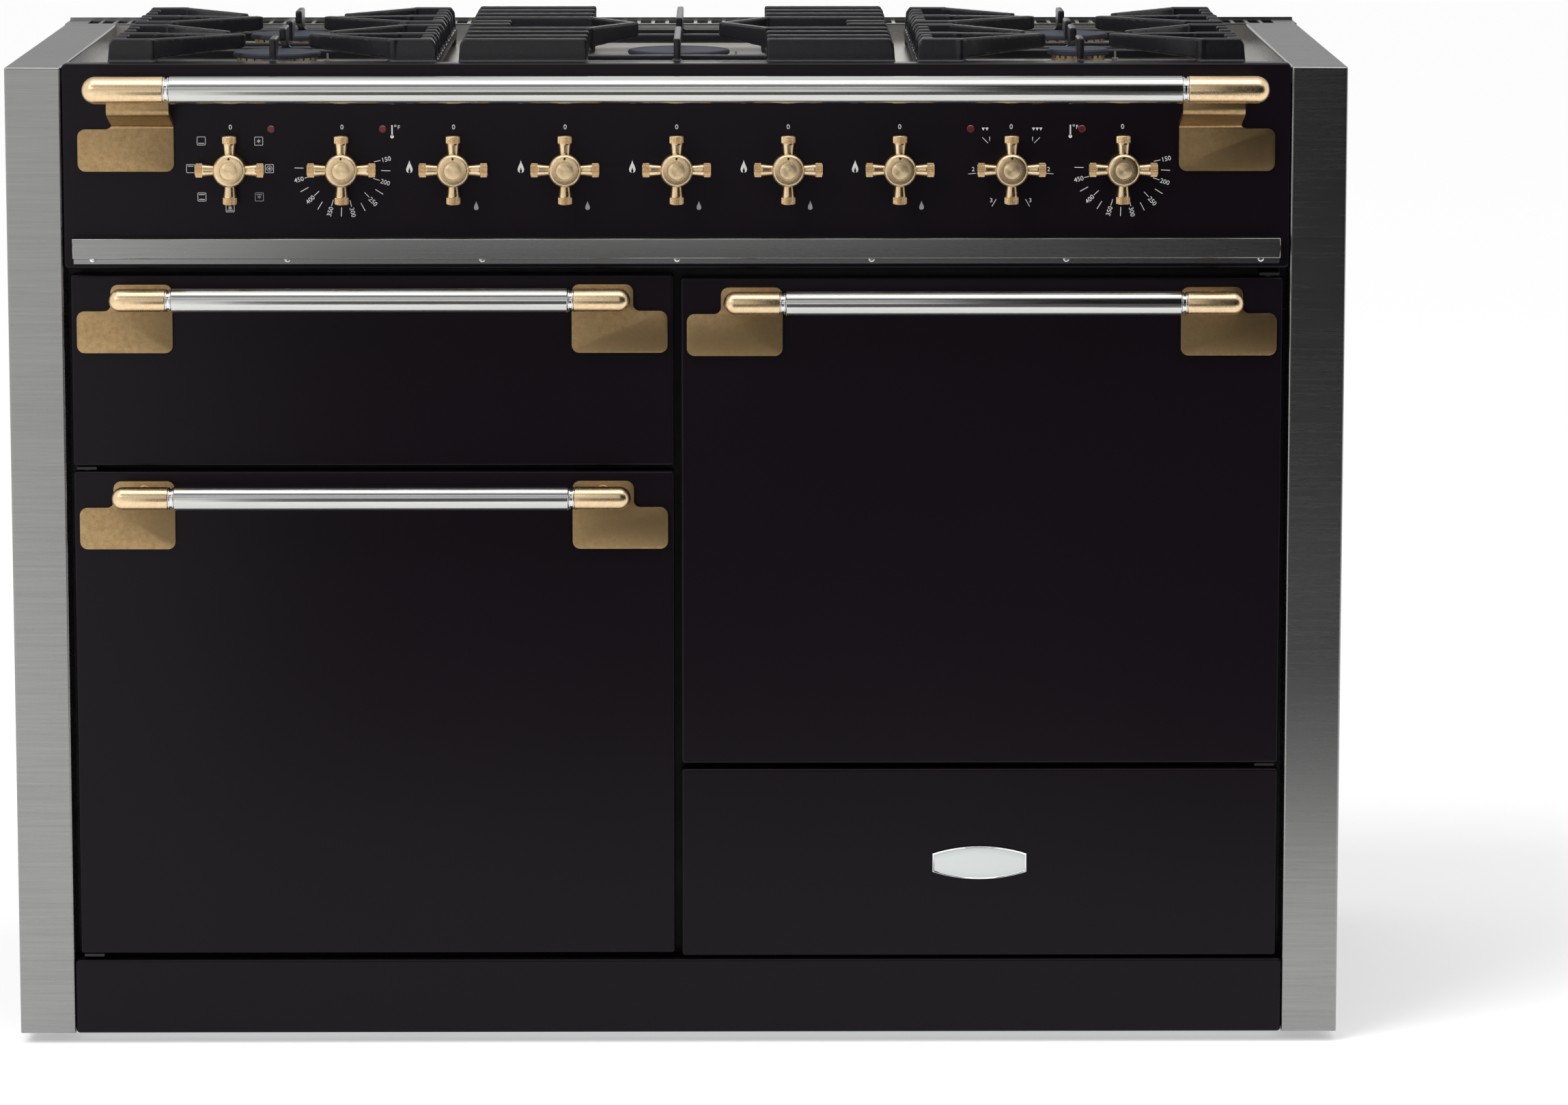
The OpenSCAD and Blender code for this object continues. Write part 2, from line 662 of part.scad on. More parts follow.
module hob_tray() color(steel) difference() {
    union() {
        block(-inner_x, panel_d, hob_z - sheet_t, 2 * inner_x, trim_top_d - panel_d, sheet_t);
        block(-inner_x, trim_top_d - sheet_t, hob_z, 2 * inner_x, sheet_t, well_h - sheet_t);
    }
    for (b = burners) translate([b[0], front_y + b[1], hob_z - 2 * sheet_t]) cylinder(h = 4 * sheet_t, d = cup_d(b) - 12);
}

slot_count = 2 * floor((outer_x - slot_pitch) / slot_pitch);

module vent_grille() color(steel) {
    difference() {
        union() {
            block(-outer_x, trim_top_d, hob_h - sheet_t, body_w, vent_d, sheet_t);
            block(-outer_x, body_d - 5, hob_h, body_w, 5, 2.5);
        }
        for (i = [0:slot_count - 1]) block((i - (slot_count - 1) / 2) * slot_pitch - slot_w / 2,
            trim_top_d + slot_front, hob_h - 2 * sheet_t, slot_w, slot_l, 4 * sheet_t);
    }
}

module burner_cups() color(galvanised) for (b = burners) translate([b[0], front_y + b[1], hob_z]) {
    base = b[4] - b[3] - ring_h;
    d = cup_d(b);
    translate([0, 0, -sheet_t - cup_h]) cylinder(h = sheet_t + cup_h, d = d - 13);
    cylinder(h = base, d1 = d, d2 = d - 4);
    translate([d / 2 + 4, 0, 0]) {
        cylinder(h = base + 2, d = 6);
        cylinder(h = base + 8, d = 2);
    }
}

module burner_rings() color(brass) for (b = burners) translate([b[0], front_y + b[1], hob_z + b[4] - b[3] - ring_h])
    difference() {
        cylinder(h = ring_h, d = b[2] - 7);
        for (a = [0:15:345]) rotate([0, 0, a]) translate([b[2] / 2 - 8, -1, ring_h - 2.5]) cube([6, 2, 3]);
    }

module burner_caps() color(iron) for (b = burners) translate([b[0], front_y + b[1], hob_z + b[4] - b[3]])
    rotate_extrude() polygon([[0, 0], [b[2] / 2 - 1, 0], [b[2] / 2, 1], [b[2] / 2, b[3] - 1.6],
        [b[2] / 2 - 1.2, b[3] - 0.3], [b[2] / 2 - 3, b[3]], [b[2] / 2 - 9, b[3] - 0.6], [0, b[3] - 0.4]]);

// ---- Grates: plan points are [x, depth from the grate's middle], heights are above the hob ----

// An upright plate between two plan points with its underside from z1 to z2
module web(p, q, z1, z2, top = grate_h, t = grate_t) {
    v = q - p;
    translate([p[0], p[1], 0]) rotate([0, 0, atan2(v[1], v[0])]) rotate([90, 0, 0]) translate([0, 0, -t / 2])
        linear_extrude(t) polygon([[0, z1], [norm(v), z2], [norm(v), top], [0, top]]);
}

// A straight bar along X with draft on its sides and sloping shoulders at its outer end
module row(x1, x2, y) {
    draft = 1;
    shoulder = 5;
    intersection() {
        translate([x1, y, 0]) rotate([90, 0, 90]) linear_extrude(x2 - x1) polygon([[-grate_t / 2 - draft, row_low],
            [grate_t / 2 + draft, row_low], [grate_t / 2, grate_h], [-grate_t / 2, grate_h]]);
        translate([0, y + grate_t, 0]) rotate([90, 0, 0]) linear_extrude(2 * grate_t) polygon([[x1, row_low],
            [x2, row_low], [x2 - 1.5, grate_h - shoulder], [x2 - shoulder, grate_h], [x1, grate_h]]);
    }
}

// A low rail of the base frame between two plan points
module low_rail(p, q, top = rail_top, t = grate_t + 1) {
    v = q - p;
    translate([p[0], p[1], rail_low]) rotate([0, 0, atan2(v[1], v[0])]) translate([0, -t / 2, 0])
        cube([norm(v), t, top - rail_low]);
}

// A fin along depth on the centre line, pointed towards the burner
module fin(y1, y2) web([0, y1], [0, y2], row_low + 1, grate_h - 12, grate_h - 0.2, grate_t - 1);

module base_frame(w) {
    t = grate_t + 1;
    x = w / 2 - t / 2;
    y = grate_d / 2 - t / 2;
    for (s = [-1, 1]) {
        low_rail([s * x, -grate_d / 2], [s * x, grate_d / 2]);
        low_rail([-w / 2, s * y], [w / 2, s * y]);
        for (r = [-1, 1]) translate([s * (x - 3), r * (y - 3), 0]) cylinder(h = rail_low + 1, d = 13);
    }
}

side_bend_x = 110;
fork_tip = [33, -25];
prong_tip = [50, 17];
fork_rows = [-89, -13];
prong_row = 96;
lobe_rows = [-74, -42, 26, 60];

// The fingers on the right of one burner, with its centre at the origin. Bars that run into each
// other differ a little in height, so their faces never share a plane.
module side_fingers(w) {
    end = w / 2;
    tip_z = grate_h - 13;
    fingers = [[fork_rows[0], fork_tip], [fork_rows[1], fork_tip], [prong_row, prong_tip]];
    for (i = [0:2]) {
        bend = [side_bend_x, fingers[i][0]];
        row(side_bend_x, end, bend[1]);
        web(bend, fingers[i][1], finger_low + 0.3 * i, tip_z - 0.3 * i, grate_h - 0.15 - 0.15 * i);
        post(bend, row_low + 0.5, grate_t + 2.4);
    }
    for (tip = [fork_tip, prong_tip]) post(tip, tip_z + 1, grate_t + 1);
    for (y = lobe_rows) row(end - 16, end - 1, y);
}

// A round post that joins two webs
module post(p, z, d) translate([p[0], p[1], z]) cylinder(h = grate_h - 0.6 - z, d = d);

module side_grate(s) color(iron) translate([s * side_grate_x, front_y + grate_front + grate_d / 2, hob_z]) {
    middle = grate_front + grate_d / 2;
    w = side_grate_w;
    base_frame(w);
    for (b = [front_burner_y - middle, rear_burner_y - middle]) translate([0, b, 0]) {
        both() side_fingers(w);
        low_rail([-w / 2, prong_row - 4], [w / 2, prong_row - 4]);
        low_rail([-w / 2, 54], [w / 2, 54]);
        low_rail([-w / 2, fork_rows[0]], [w / 2, fork_rows[0]]);
        fin(fork_rows[0], -46);
        fin(prong_row, 46);
    }
}

block_x = 82;
block_rows = [70, 120, 170];
middle_tip_x = 42;

module grate_centre() color(iron) translate([0, front_y + grate_front + grate_d / 2, hob_z]) {
    w = middle_grate_w;
    y0 = grate_d / 2 - (grate_t + 2) / 2 - frame_ledge;
    base_frame(w);
    both() {
        for (s = [-1, 1]) {
            for (y = concat(block_rows, [y0])) row(block_x, w / 2, s * y);
            row(w / 2 - 41, w / 2, s * 18);
            low_rail([block_x + 4, s * block_rows[0]], [block_x + 4, s * y0]);
            web([block_x, s * block_rows[0]], [middle_tip_x, 0], finger_low, grate_h - 14 - 0.3 * s, grate_h - 0.3 - 0.15 * s);
            post([block_x, s * block_rows[0]], row_low + 0.5, grate_t + 2.4);
            for (y = [y0 - 14, 134]) low_rail([0, s * y], [block_x + 4, s * y], rail_top - 0.4);
        }
        post([middle_tip_x, 0], grate_h - 13, grate_t + 1);
    }
    for (s = [-1, 1]) fin(s * (y0 + 1), s * 58);
}

// ---- Ovens ----

// A folded sheet cavity with a flange that meets the front frame, open to the front
module cavity(m, depth) {
    difference() {
        union() {
            mouth(m, cavity_y, depth + wall_t, wall_t);
            mouth(m, cavity_y, wall_t, 9);
        }
        mouth(m, cavity_y - 1, depth + 1);
    }
}

// Ledges along both side walls at height z
module ledges(m, z, depth) for (s = [-1, 1])
    block(m[0] + s * (m[2] - ledge_w) / 2 - ledge_w / 2, cavity_y + 20, z - ledge_h, ledge_w, depth - 20, ledge_h);

ledge_rows = 4;
function ledge_z(m, i) = m[1] + m[3] * (i + 1) / (ledge_rows + 1);
function shelf_z(m) = ledge_z(m, 1) + seat_gap;
fan_z = left_mouth[1] + left_mouth[3] / 2;
fan_hub_d = 30;
baffle_y = cavity_y + cavity_d - 44;
shaft_d = 8;
shaft_in = 40;
motor_l = 60;
motor_d = 110;

module left_oven_box() color(vitreous) {
    difference() {
        union() {
            cavity(left_mouth, cavity_d);
            for (i = [0:ledge_rows - 1]) ledges(left_mouth, ledge_z(left_mouth, i), cavity_d);
            pin_y(left_mouth[0], cavity_y + cavity_d, fan_z, motor_l, motor_d);
            block(left_mouth[0] - mouth_w / 2 + ledge_w - 1, baffle_y, left_mouth[1] + ledge_w + 2,
                mouth_w - 2 * ledge_w + 2, wall_t, left_mouth[3] - 2 * ledge_w - 4);
        }
        for (r = [22, 46, 70], a = [0:30:330]) translate([left_mouth[0], front_y + baffle_y, fan_z]) rotate([0, a + r, 0])
            translate([r, -1, -r / 8]) cube([14, wall_t + 2, r / 4]);
        pin_y(left_mouth[0], cavity_y + cavity_d - 1, fan_z, motor_l - 10, shaft_d + 2 * running_gap);
    }
}

module right_oven_box() color(vitreous) {
    cavity(right_mouth, cavity_d);
    for (i = [0:ledge_rows - 1]) ledges(right_mouth, ledge_z(right_mouth, i), cavity_d);
}

carriage_z = grill_mouth[1] + 40;

module grill_box() color(vitreous) {
    cavity(grill_mouth, cavity_d);
    ledges(grill_mouth, carriage_z - seat_gap, cavity_d);
}

// A hairpin heating rod in a level plane: two straight legs from the back wall, joined at the front
module hairpin(x, y, z, half, len, d) translate([x, front_y + y, z]) {
    for (s = [-1, 1]) translate([s * half, half, 0]) rotate([-90, 0, 0]) cylinder(h = len - half, d = d);
    translate([0, half, 0]) mirror([0, 1, 0]) rotate_extrude(angle = 180) translate([half, 0]) circle(d = d);
}

ring_element_r = fan_d / 2 + 22;
ring_element_y = cavity_y + cavity_d - 30;
tail_x = 12;
element_d = 6.5;
hairpin_half = 24;
hairpin_pitch = 90;
hairpin_front = cavity_y + 70;
hairpin_gap = 18;

module heating_elements() color(dark_steel) {
    rear = cavity_y + cavity_d;
    len = rear - hairpin_front;
    grill_top = grill_mouth[1] + grill_mouth[3] - hairpin_gap;
    right_rods = [right_mouth[1] + hairpin_gap, right_mouth[1] + right_mouth[3] - hairpin_gap];
    for (i = [-1.5:1.5]) {
        hairpin(grill_mouth[0] + i * hairpin_pitch, hairpin_front, grill_top, hairpin_half, len, element_d);
        for (z = right_rods) hairpin(right_mouth[0] + i * hairpin_pitch, hairpin_front, z, hairpin_half, len, element_d);
    }
    translate([left_mouth[0], front_y + ring_element_y, fan_z]) rotate([90, 0, 0]) rotate_extrude()
        translate([ring_element_r, 0]) circle(d = element_d);
    for (s = [-1, 1]) pin_y(left_mouth[0] + s * tail_x, ring_element_y, fan_z - sqrt(pow(ring_element_r, 2) - pow(tail_x, 2)),
        rear - ring_element_y, element_d);
}

fan_y = cavity_y + cavity_d - 26;
blade_l = 18;
blade_in = 28;

module oven_fan() color(steel) {
    pin_y(left_mouth[0], fan_y, fan_z, cavity_y + cavity_d + shaft_in - fan_y, shaft_d);
    pin_y(left_mouth[0], fan_y, fan_z, blade_l + 2, fan_hub_d);
    translate([left_mouth[0], front_y + fan_y + 2, fan_z]) rotate([-90, 0, 0]) {
        cylinder(h = sheet_t, d = fan_d);
        for (a = [0:30:330]) rotate([0, 0, a]) translate([blade_in, -sheet_t / 2, 0])
            cube([fan_d / 2 - blade_in - 2, sheet_t, blade_l]);
    }
}

// A wire shelf: a frame of thick rods with thin rods from front to back
module shelf(m) color("silver") translate([m[0], front_y + cavity_y, shelf_z(m) + shelf_rod_d / 2]) {
    x = shelf_w / 2 - shelf_rod_d / 2;
    y = [24, cavity_d - 50];
    for (s = [-1, 1]) rod([s * x, y[0] - shelf_rod_d / 2, 0], [s * x, y[1] + shelf_rod_d / 2, 0], shelf_rod_d);
    for (d = y) rod([-x, d, 0], [x, d, 0], shelf_rod_d);
    for (i = [1:15]) rod([-x + 2 * x * i / 16, y[0], 0], [-x + 2 * x * i / 16, y[1], 0], 3);
}

// ---- Doors ----

// An enamelled front from its centre x and lower edge: a tray with a rim around its open back
module front_shell(x, z, h) difference() {
    upright(0, door_t) translate([x - front_w / 2, z]) round_rect(front_w, h, front_r);
    block(x - front_w / 2 + enamel_t, enamel_t, z + enamel_t, front_w - 2 * enamel_t, door_t - 2 * enamel_t, h - 2 * enamel_t);
    block(x - front_w / 2 + rim_w, enamel_t, z + rim_w, front_w - 2 * rim_w, door_t, h - 2 * rim_w);
}

// A door with solid corners that hold the hinge pins
module hinged_door(side, z) color(enamel) difference() {
    corner = hinge_in + hinge_pin_d / 2 + 6;
    depth = hinge_pin_l + 5;
    union() {
        front_shell(side * front_x, z, door_h);
        for (low = [z + enamel_t, z + door_h - enamel_t - depth])
            block(side > 0 ? front_x + front_w / 2 - enamel_t - corner : -front_x - front_w / 2 + enamel_t,
                enamel_t, low, corner, door_t - 2 * enamel_t, depth);
    }
    for (low = [z - 1, z + door_h - hinge_pin_l]) translate([side * hinge_x, front_y + hinge_in, low])
        cylinder(h = hinge_pin_l + 1, d = hinge_pin_d + 2 * running_gap);
}

// The inner wall of a door with its rope seal around the oven's mouth
module door_liner(side, z) {
    x = side * front_x - front_w / 2 + liner_inset;
    w = front_w - 2 * liner_inset;
    h = door_h - 2 * liner_inset;
    seal = mouth_inset - liner_inset - 12;
    color(vitreous) difference() {
        block(x, door_t, z + liner_inset, w, liner_t, h);
        block(x + wall_t, door_t - 1, z + liner_inset + wall_t, w - 2 * wall_t, liner_t + 1 - wall_t, h - 2 * wall_t);
    }
    color("#6d6d6d") difference() {
        block(x + seal, door_t + liner_t, z + liner_inset + seal, w - 2 * seal, seal_t, h - 2 * seal);
        block(x + seal + 6, door_t + liner_t - 1, z + liner_inset + seal + 6, w - 2 * seal - 12, seal_t + 2, h - 2 * seal - 12);
    }
}

// ---- Glide-out grill and drawer ----

carriage_l = cavity_d - 20;
carriage_w = mouth_w - 2 * glide_gap;
carriage_t = 4;
carriage_bar = [12, 14];
pan_side = 30;
pan_end = 25;
pan_h = 24;
pan_w = carriage_w - 2 * pan_side;
pan_y = cavity_y + pan_end - 1;
pan_l = carriage_l - 2 * pan_end;
rack_rod_d = 4;
rack_wire_d = 3;
rack_wires = 13;

module grill_carriage() color(galvanised) {
    y = door_t;
    x = grill_mouth[0] - carriage_w / 2;
    block(grill_mouth[0] - front_w / 2 + liner_inset, y, grill_z + liner_inset, front_w - 2 * liner_inset, wall_t, small_front_h - 2 * liner_inset);
    b = carriage_bar;
    for (dx = [0, carriage_w - b[0]]) block(x + dx, y + wall_t, carriage_z, b[0], carriage_l, carriage_t);
    for (dy = [0, carriage_l - b[1]]) block(x + b[0], y + wall_t + dy, carriage_z, carriage_w - 2 * b[0], b[1], carriage_t);
}

module grill_pan() color(vitreous) difference() {
    x = grill_mouth[0] - pan_w / 2;
    z = carriage_z + carriage_t;
    block(x, pan_y, z, pan_w, pan_l, pan_h);
    block(x + wall_t, pan_y + wall_t, z + wall_t, pan_w - 2 * wall_t, pan_l - 2 * wall_t, pan_h);
}

// A wire rack that lies on the pan's front and back walls
module grill_rack() color("silver")
    translate([grill_mouth[0], front_y + pan_y, carriage_z + carriage_t + pan_h + seat_gap + rack_rod_d / 2]) {
        for (s = [-1, 1]) rod([s * (pan_w / 2 - 20), -2, 0], [s * (pan_w / 2 - 20), pan_l + 2, 0], rack_rod_d);
        for (i = [1:rack_wires]) {
            d = pan_l * i / (rack_wires + 1);
            rod([6 - pan_w / 2, d, 0], [pan_w / 2 - 6, d, 0], rack_wire_d);
        }
    }

module drawer_box() color(galvanised) {
    x = front_x - drawer_w / 2;
    rail = runner_h - 2 * glide_gap - sheet_t;
    wall_z = drawer_box_z + wall_t + sheet_seam;
    wall_h = drawer_h - wall_t - sheet_seam;
    side_l = drawer_l - 2 * (wall_t + sheet_seam);
    block(x, door_t, drawer_box_z, drawer_w, drawer_l, wall_t);
    for (y = [door_t, door_t + drawer_l - wall_t]) block(x, y, wall_z, drawer_w, wall_t, wall_h);
    for (s = [0, 1]) {
        block(s > 0 ? x + drawer_w - wall_t : x, door_t + wall_t + sheet_seam, wall_z, wall_t, side_l, wall_h);
        block(s > 0 ? x + drawer_w : x - rail, cavity_y, drawer_box_z + drawer_h / 2, rail,
            door_t + wall_t + sheet_seam + side_l - cavity_y, 4);
    }
}

badge_w = 87.3;
badge_h = 31.4;
badge_end_h = 17.6;

// Front view of the badge: ends shorter than its middle, top and bottom bowed
module badge_outline(grow) {
    w = badge_w / 2 + grow;
    h = badge_h / 2 + grow;
    e = badge_end_h / 2 + grow;
    sag = h - e;
    r = (w * w + sag * sag) / (2 * sag);
    intersection() {
        square([2 * w, 2 * h], center = true);
        translate([0, h - r]) circle(r);
        translate([0, r - h]) circle(r);
    }
}

module badge() translate([front_x, 0, drawer_z + small_front_h / 2]) {
    color("silver") difference() {
        upright(-3, 3) badge_outline(0);
        upright(-4, 3) badge_outline(-2);
    }
    color("#dadedd") upright(-2.4, 1.4) badge_outline(-2.2);
}

base_tray();
side_panels();
back_panel();
side_trims();
plinth();
levelling_feet();
front_frame();
door_hinges();
control_panel();
deflector_rail();
deflector_screws();
rail_bar();
rail_brackets();
hob_tray();
vent_grille();
burner_cups();
burner_rings();
burner_caps();
control_gear();
indicator_lamps();
grill_box();
left_oven_box();
right_oven_box();
heating_elements();
hinged_door(-1, left_door_z);  // left_door
door_liner(-1, left_door_z);  // left_door_liner
door_bar(-front_x, left_door_z + door_h);  // left_door_bar
door_brackets(-front_x, left_door_z + door_h);  // left_door_brackets
hinged_door(1, right_door_z);  // right_door
door_liner(1, right_door_z);  // right_door_liner
door_bar(front_x, right_door_z + door_h);  // right_door_bar
door_brackets(front_x, right_door_z + door_h);  // right_door_brackets
color(enamel) front_shell(-front_x, grill_z, small_front_h);  // grill_front
door_bar(-front_x, grill_z + small_front_h);  // grill_bar
door_brackets(-front_x, grill_z + small_front_h);  // grill_brackets
grill_carriage();
grill_pan();
grill_rack();
color(enamel) front_shell(front_x, drawer_z, small_front_h);  // drawer_front
drawer_box();
badge();
union() {  // oven_shelves
    shelf(left_mouth);
    shelf(right_mouth);
}
oven_knob(1);  // knob_1
oven_knob(2);  // knob_2
cross_knob(3);  // knob_3
cross_knob(4);  // knob_4
cross_knob(5);  // knob_5
cross_knob(6);  // knob_6
cross_knob(7);  // knob_7
oven_knob(8);  // knob_8
oven_knob(9);  // knob_9
spindle(3);  // spindle_3
spindle(4);  // spindle_4
spindle(5);  // spindle_5
spindle(6);  // spindle_6
spindle(7);  // spindle_7
oven_fan();
side_grate(-1);  // grate_left
grate_centre();
side_grate(1);  // grate_right
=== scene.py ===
"""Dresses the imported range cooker: finishes, rounded fronts, handles, knobs, dial marks and grates."""
import json
from math import asin, atan2, cos, hypot, pi, radians, sin, sqrt

import bmesh
import bpy
from mathutils import Matrix, Vector, noise


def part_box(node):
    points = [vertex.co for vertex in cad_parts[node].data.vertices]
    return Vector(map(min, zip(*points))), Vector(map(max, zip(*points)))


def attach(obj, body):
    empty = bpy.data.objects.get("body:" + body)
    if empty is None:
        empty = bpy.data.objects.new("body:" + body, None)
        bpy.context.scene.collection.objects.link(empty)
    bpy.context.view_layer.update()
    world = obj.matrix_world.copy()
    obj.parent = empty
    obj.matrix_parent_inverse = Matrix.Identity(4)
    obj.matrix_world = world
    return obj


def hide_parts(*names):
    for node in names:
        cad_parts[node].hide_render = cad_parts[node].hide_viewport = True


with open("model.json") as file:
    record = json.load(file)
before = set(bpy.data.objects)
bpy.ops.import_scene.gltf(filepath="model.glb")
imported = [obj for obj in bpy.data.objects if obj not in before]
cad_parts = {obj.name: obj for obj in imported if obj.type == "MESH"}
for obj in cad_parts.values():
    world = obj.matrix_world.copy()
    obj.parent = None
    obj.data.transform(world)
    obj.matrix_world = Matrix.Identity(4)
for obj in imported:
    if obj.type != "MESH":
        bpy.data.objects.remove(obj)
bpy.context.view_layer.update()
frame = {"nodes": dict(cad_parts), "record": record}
nodes = frame["nodes"]

MM = 0.001
TURN = 2 * pi

# ---- Where things are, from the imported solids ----


def corners(node):
    """The low and the high corner of a node's box."""
    low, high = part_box(node)
    return Vector(low), Vector(high)


def middle(node):
    low, high = corners(node)
    return (low + high) / 2


def body_of_node(node):
    bodies = frame["record"]["behaviour"]["bodies"]
    return next(body for body, members in bodies.items() if node in members)


TRIM_LOW, TRIM_HIGH = corners("side_trims")
FRONT = TRIM_LOW.y

# ---- Sizes of the dressed pieces, in metres ----

FRONT_ROUND = 2.4 * MM
TRIM_ROUND = 2.4 * MM
LIP_ROUND = 1.1 * MM
COLLAR = 5.5 * MM
DOOR_CAP = (51 * MM, 21 * MM)
DOOR_TUBE = 22.5 * MM
RAIL_CAP = (73 * MM, 24.6 * MM)
RAIL_TUBE = 25 * MM
PLATE = (87 * MM, 38.3 * MM)
TAB_WIDTH = 56 * MM
TAB_RISE = 24.3 * MM
PLATE_ROUND = 7 * MM
PLATE_THICK = 4 * MM
PLATE_BEVEL = 1.3 * MM
POST = 5.6 * MM
POST_FLANGE = 6.5 * MM
BEND = 8 * MM
KNOB_HUB = 29.6 * MM
KNOB_DEPTH = 21 * MM
KNOB_SPAN = 62.4 * MM
TURNED_DISC = 7.8 * MM
POINTER_HOLE = 1.05 * MM
KNURL_LENGTH = 6.2 * MM
KNURL_DEEP = 6.0 * MM
KNURL_PROUD = 6.36 * MM
PRINT_THICK = 0.06 * MM
DIGIT = 4.5 * MM
GRATE_GRID = 1.15 * MM

# ---- Small tools ----


def shade(mesh, angle=35):
    """Smooth shading, apart from the edges that turn by more than an angle in degrees."""
    mesh.shade_smooth()
    mesh.set_sharp_from_angle(angle=radians(angle))


def add_object(name, data):
    obj = bpy.data.objects.new(name, data)
    bpy.context.collection.objects.link(obj)
    return obj


def new_piece(name, mesh, body, slot, *materials, smooth=35):
    """A finished piece at the origin that rides on a body."""
    obj = add_object(name, mesh)
    for material in materials:
        mesh.materials.append(material)
    if smooth:
        shade(mesh, smooth)
    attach(obj, body)
    return obj


def replacement(node, name, mesh, slot, *materials, smooth=35):
    """A piece that rides on its node's body and stands in for the node's solid."""
    piece = new_piece(name, mesh, body_of_node(node), slot, *materials, smooth=smooth)
    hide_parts(node)


def to_mesh(bm, name, outwards=True):
    if outwards:
        bmesh.ops.recalc_face_normals(bm, faces=bm.faces)
    mesh = bpy.data.meshes.new(name)
    bm.to_mesh(mesh)
    bm.free()
    return mesh


def final_mesh(obj):
    """An object's mesh as it is after its modifiers; the object itself is removed."""
    depsgraph = bpy.context.evaluated_depsgraph_get()
    mesh = bpy.data.meshes.new_from_object(obj.evaluated_get(depsgraph))
    bpy.data.objects.remove(obj)
    return mesh


def with_modifiers(mesh, *modifiers):
    """The mesh after modifiers, each given as its kind and its settings."""
    obj = add_object("blank", mesh)
    for kind, settings in modifiers:
        modifier = obj.modifiers.new(kind, kind)
        for key, value in settings.items():
            setattr(modifier, key, value)
    result = final_mesh(obj)
    bpy.data.meshes.remove(mesh)
    return result


def cut_out(mesh, tool, materials=()):
    """The mesh less the volume of a tool, both with the same materials."""
    cutter = add_object("cutter", to_mesh(tool, "cutter"))
    for target in (mesh, cutter.data):
        for material in materials:
            target.materials.append(material)
    result = with_modifiers(mesh, ("BOOLEAN", dict(operation="DIFFERENCE", solver="EXACT", use_self=True,
                                                   object=cutter)))
    bpy.data.objects.remove(cutter)
    return result


def merged_copy(node, join_flats=True):
    """The node's solid as a clean mesh, its flat faces joined if asked."""
    bm = bmesh.new()
    bm.from_mesh(nodes[node].data)
    bmesh.ops.remove_doubles(bm, verts=bm.verts, dist=2e-6)
    if join_flats:
        bmesh.ops.dissolve_limit(bm, angle_limit=radians(0.6), verts=bm.verts, edges=bm.edges)
    return bm


def ring_faces(bm, rows):
    """Skins closed rows of vertices; each row is a list of the same length."""
    for a, b in zip(rows, rows[1:]):
        count = len(a)
        for i in range(count):
            j = (i + 1) % count
            bm.faces.new((a[i], a[j], b[j], b[i]))


def spoke(side, other, i, count):
    """The direction of spoke i of count, in the plane of two axes."""
    angle = TURN * i / count
    return side * cos(angle) + other * sin(angle)


def lathe(bm, profile, axis_start, axis, segments):
    """Turns (along, radius) points round an axis and closes both ends."""
    axis = Vector(axis).normalized()
    side = axis.orthogonal().normalized()
    other = axis.cross(side)
    rows = []
    for along, radius in profile:
        centre = Vector(axis_start) + axis * along
        points = [centre + radius * spoke(side, other, i, segments) for i in range(segments)]
        rows.append([bm.verts.new(point) for point in points])
    ring_faces(bm, rows)
    bm.faces.new(rows[0][::-1])
    bm.faces.new(rows[-1])


def quarter_turns(count, first=0):
    """Angles up to a quarter of a turn in count steps, without the last and from a first step on."""
    return [pi / 2 * i / count for i in range(first, count)]


def arc(centre, radius, start, end, steps):
    """Points from a start to an end angle, both in degrees."""
    angles = [radians(start + (end - start) * i / steps) for i in range(steps + 1)]
    return [(centre[0] + radius * cos(a), centre[1] + radius * sin(a)) for a in angles]


# ---- Finishes ----

VECTOR, NUMBER, COLOUR = "NodeSocketVector", "NodeSocketFloat", "NodeSocketColor"
WHOLE, GEOMETRY = "NodeSocketInt", "NodeSocketGeometry"
WHITE = (1, 1, 1, 1)
ALONG_X = (6.0, 420.0, 420.0)
LINER_FACE = 40.2 * MM
PEEL_DEPTH = 4e-6
RING_DEPTH = 1.6e-5


def node_in(tree, kind, settings=None, **inputs):
    """The outputs of a new node. Inputs go by name, or by number as i0, and take a value or a socket."""
    node = tree.nodes.new(kind)
    for key, value in (settings or {}).items():
        setattr(node, key, value)
    for key, value in inputs.items():
        numbered = key[0] == "i" and key[1:].isdigit()
        socket = node.inputs[int(key[1:]) if numbered else key.replace("_", " ")]
        if isinstance(value, bpy.types.NodeSocket):
            tree.links.new(value, socket)
        else:
            socket.default_value = value
    return node.outputs


def math_in(tree, operation, *values, clamp=False):
    """The result of a math node over values or sockets."""
    inputs = {f"i{i}": value for i, value in enumerate(values)}
    settings = {"operation": operation, "use_clamp": clamp}
    return node_in(tree, "ShaderNodeMath", settings, **inputs)[0]


def noise_in(tree, place, scale, detail, rough=0.5):
    made = node_in(tree, "ShaderNodeTexNoise", Vector=place, Scale=scale, Detail=detail, Roughness=rough)
    return made["Fac"]


def blend(tree, factor, a, b):
    return node_in(tree, "ShaderNodeMix", {"data_type": "FLOAT"}, i0=factor, i2=a, i3=b)[0]


def blend_colours(tree, factor, a, b):
    return node_in(tree, "ShaderNodeMix", {"data_type": "RGBA"}, i0=factor, i6=a, i7=b)[2]


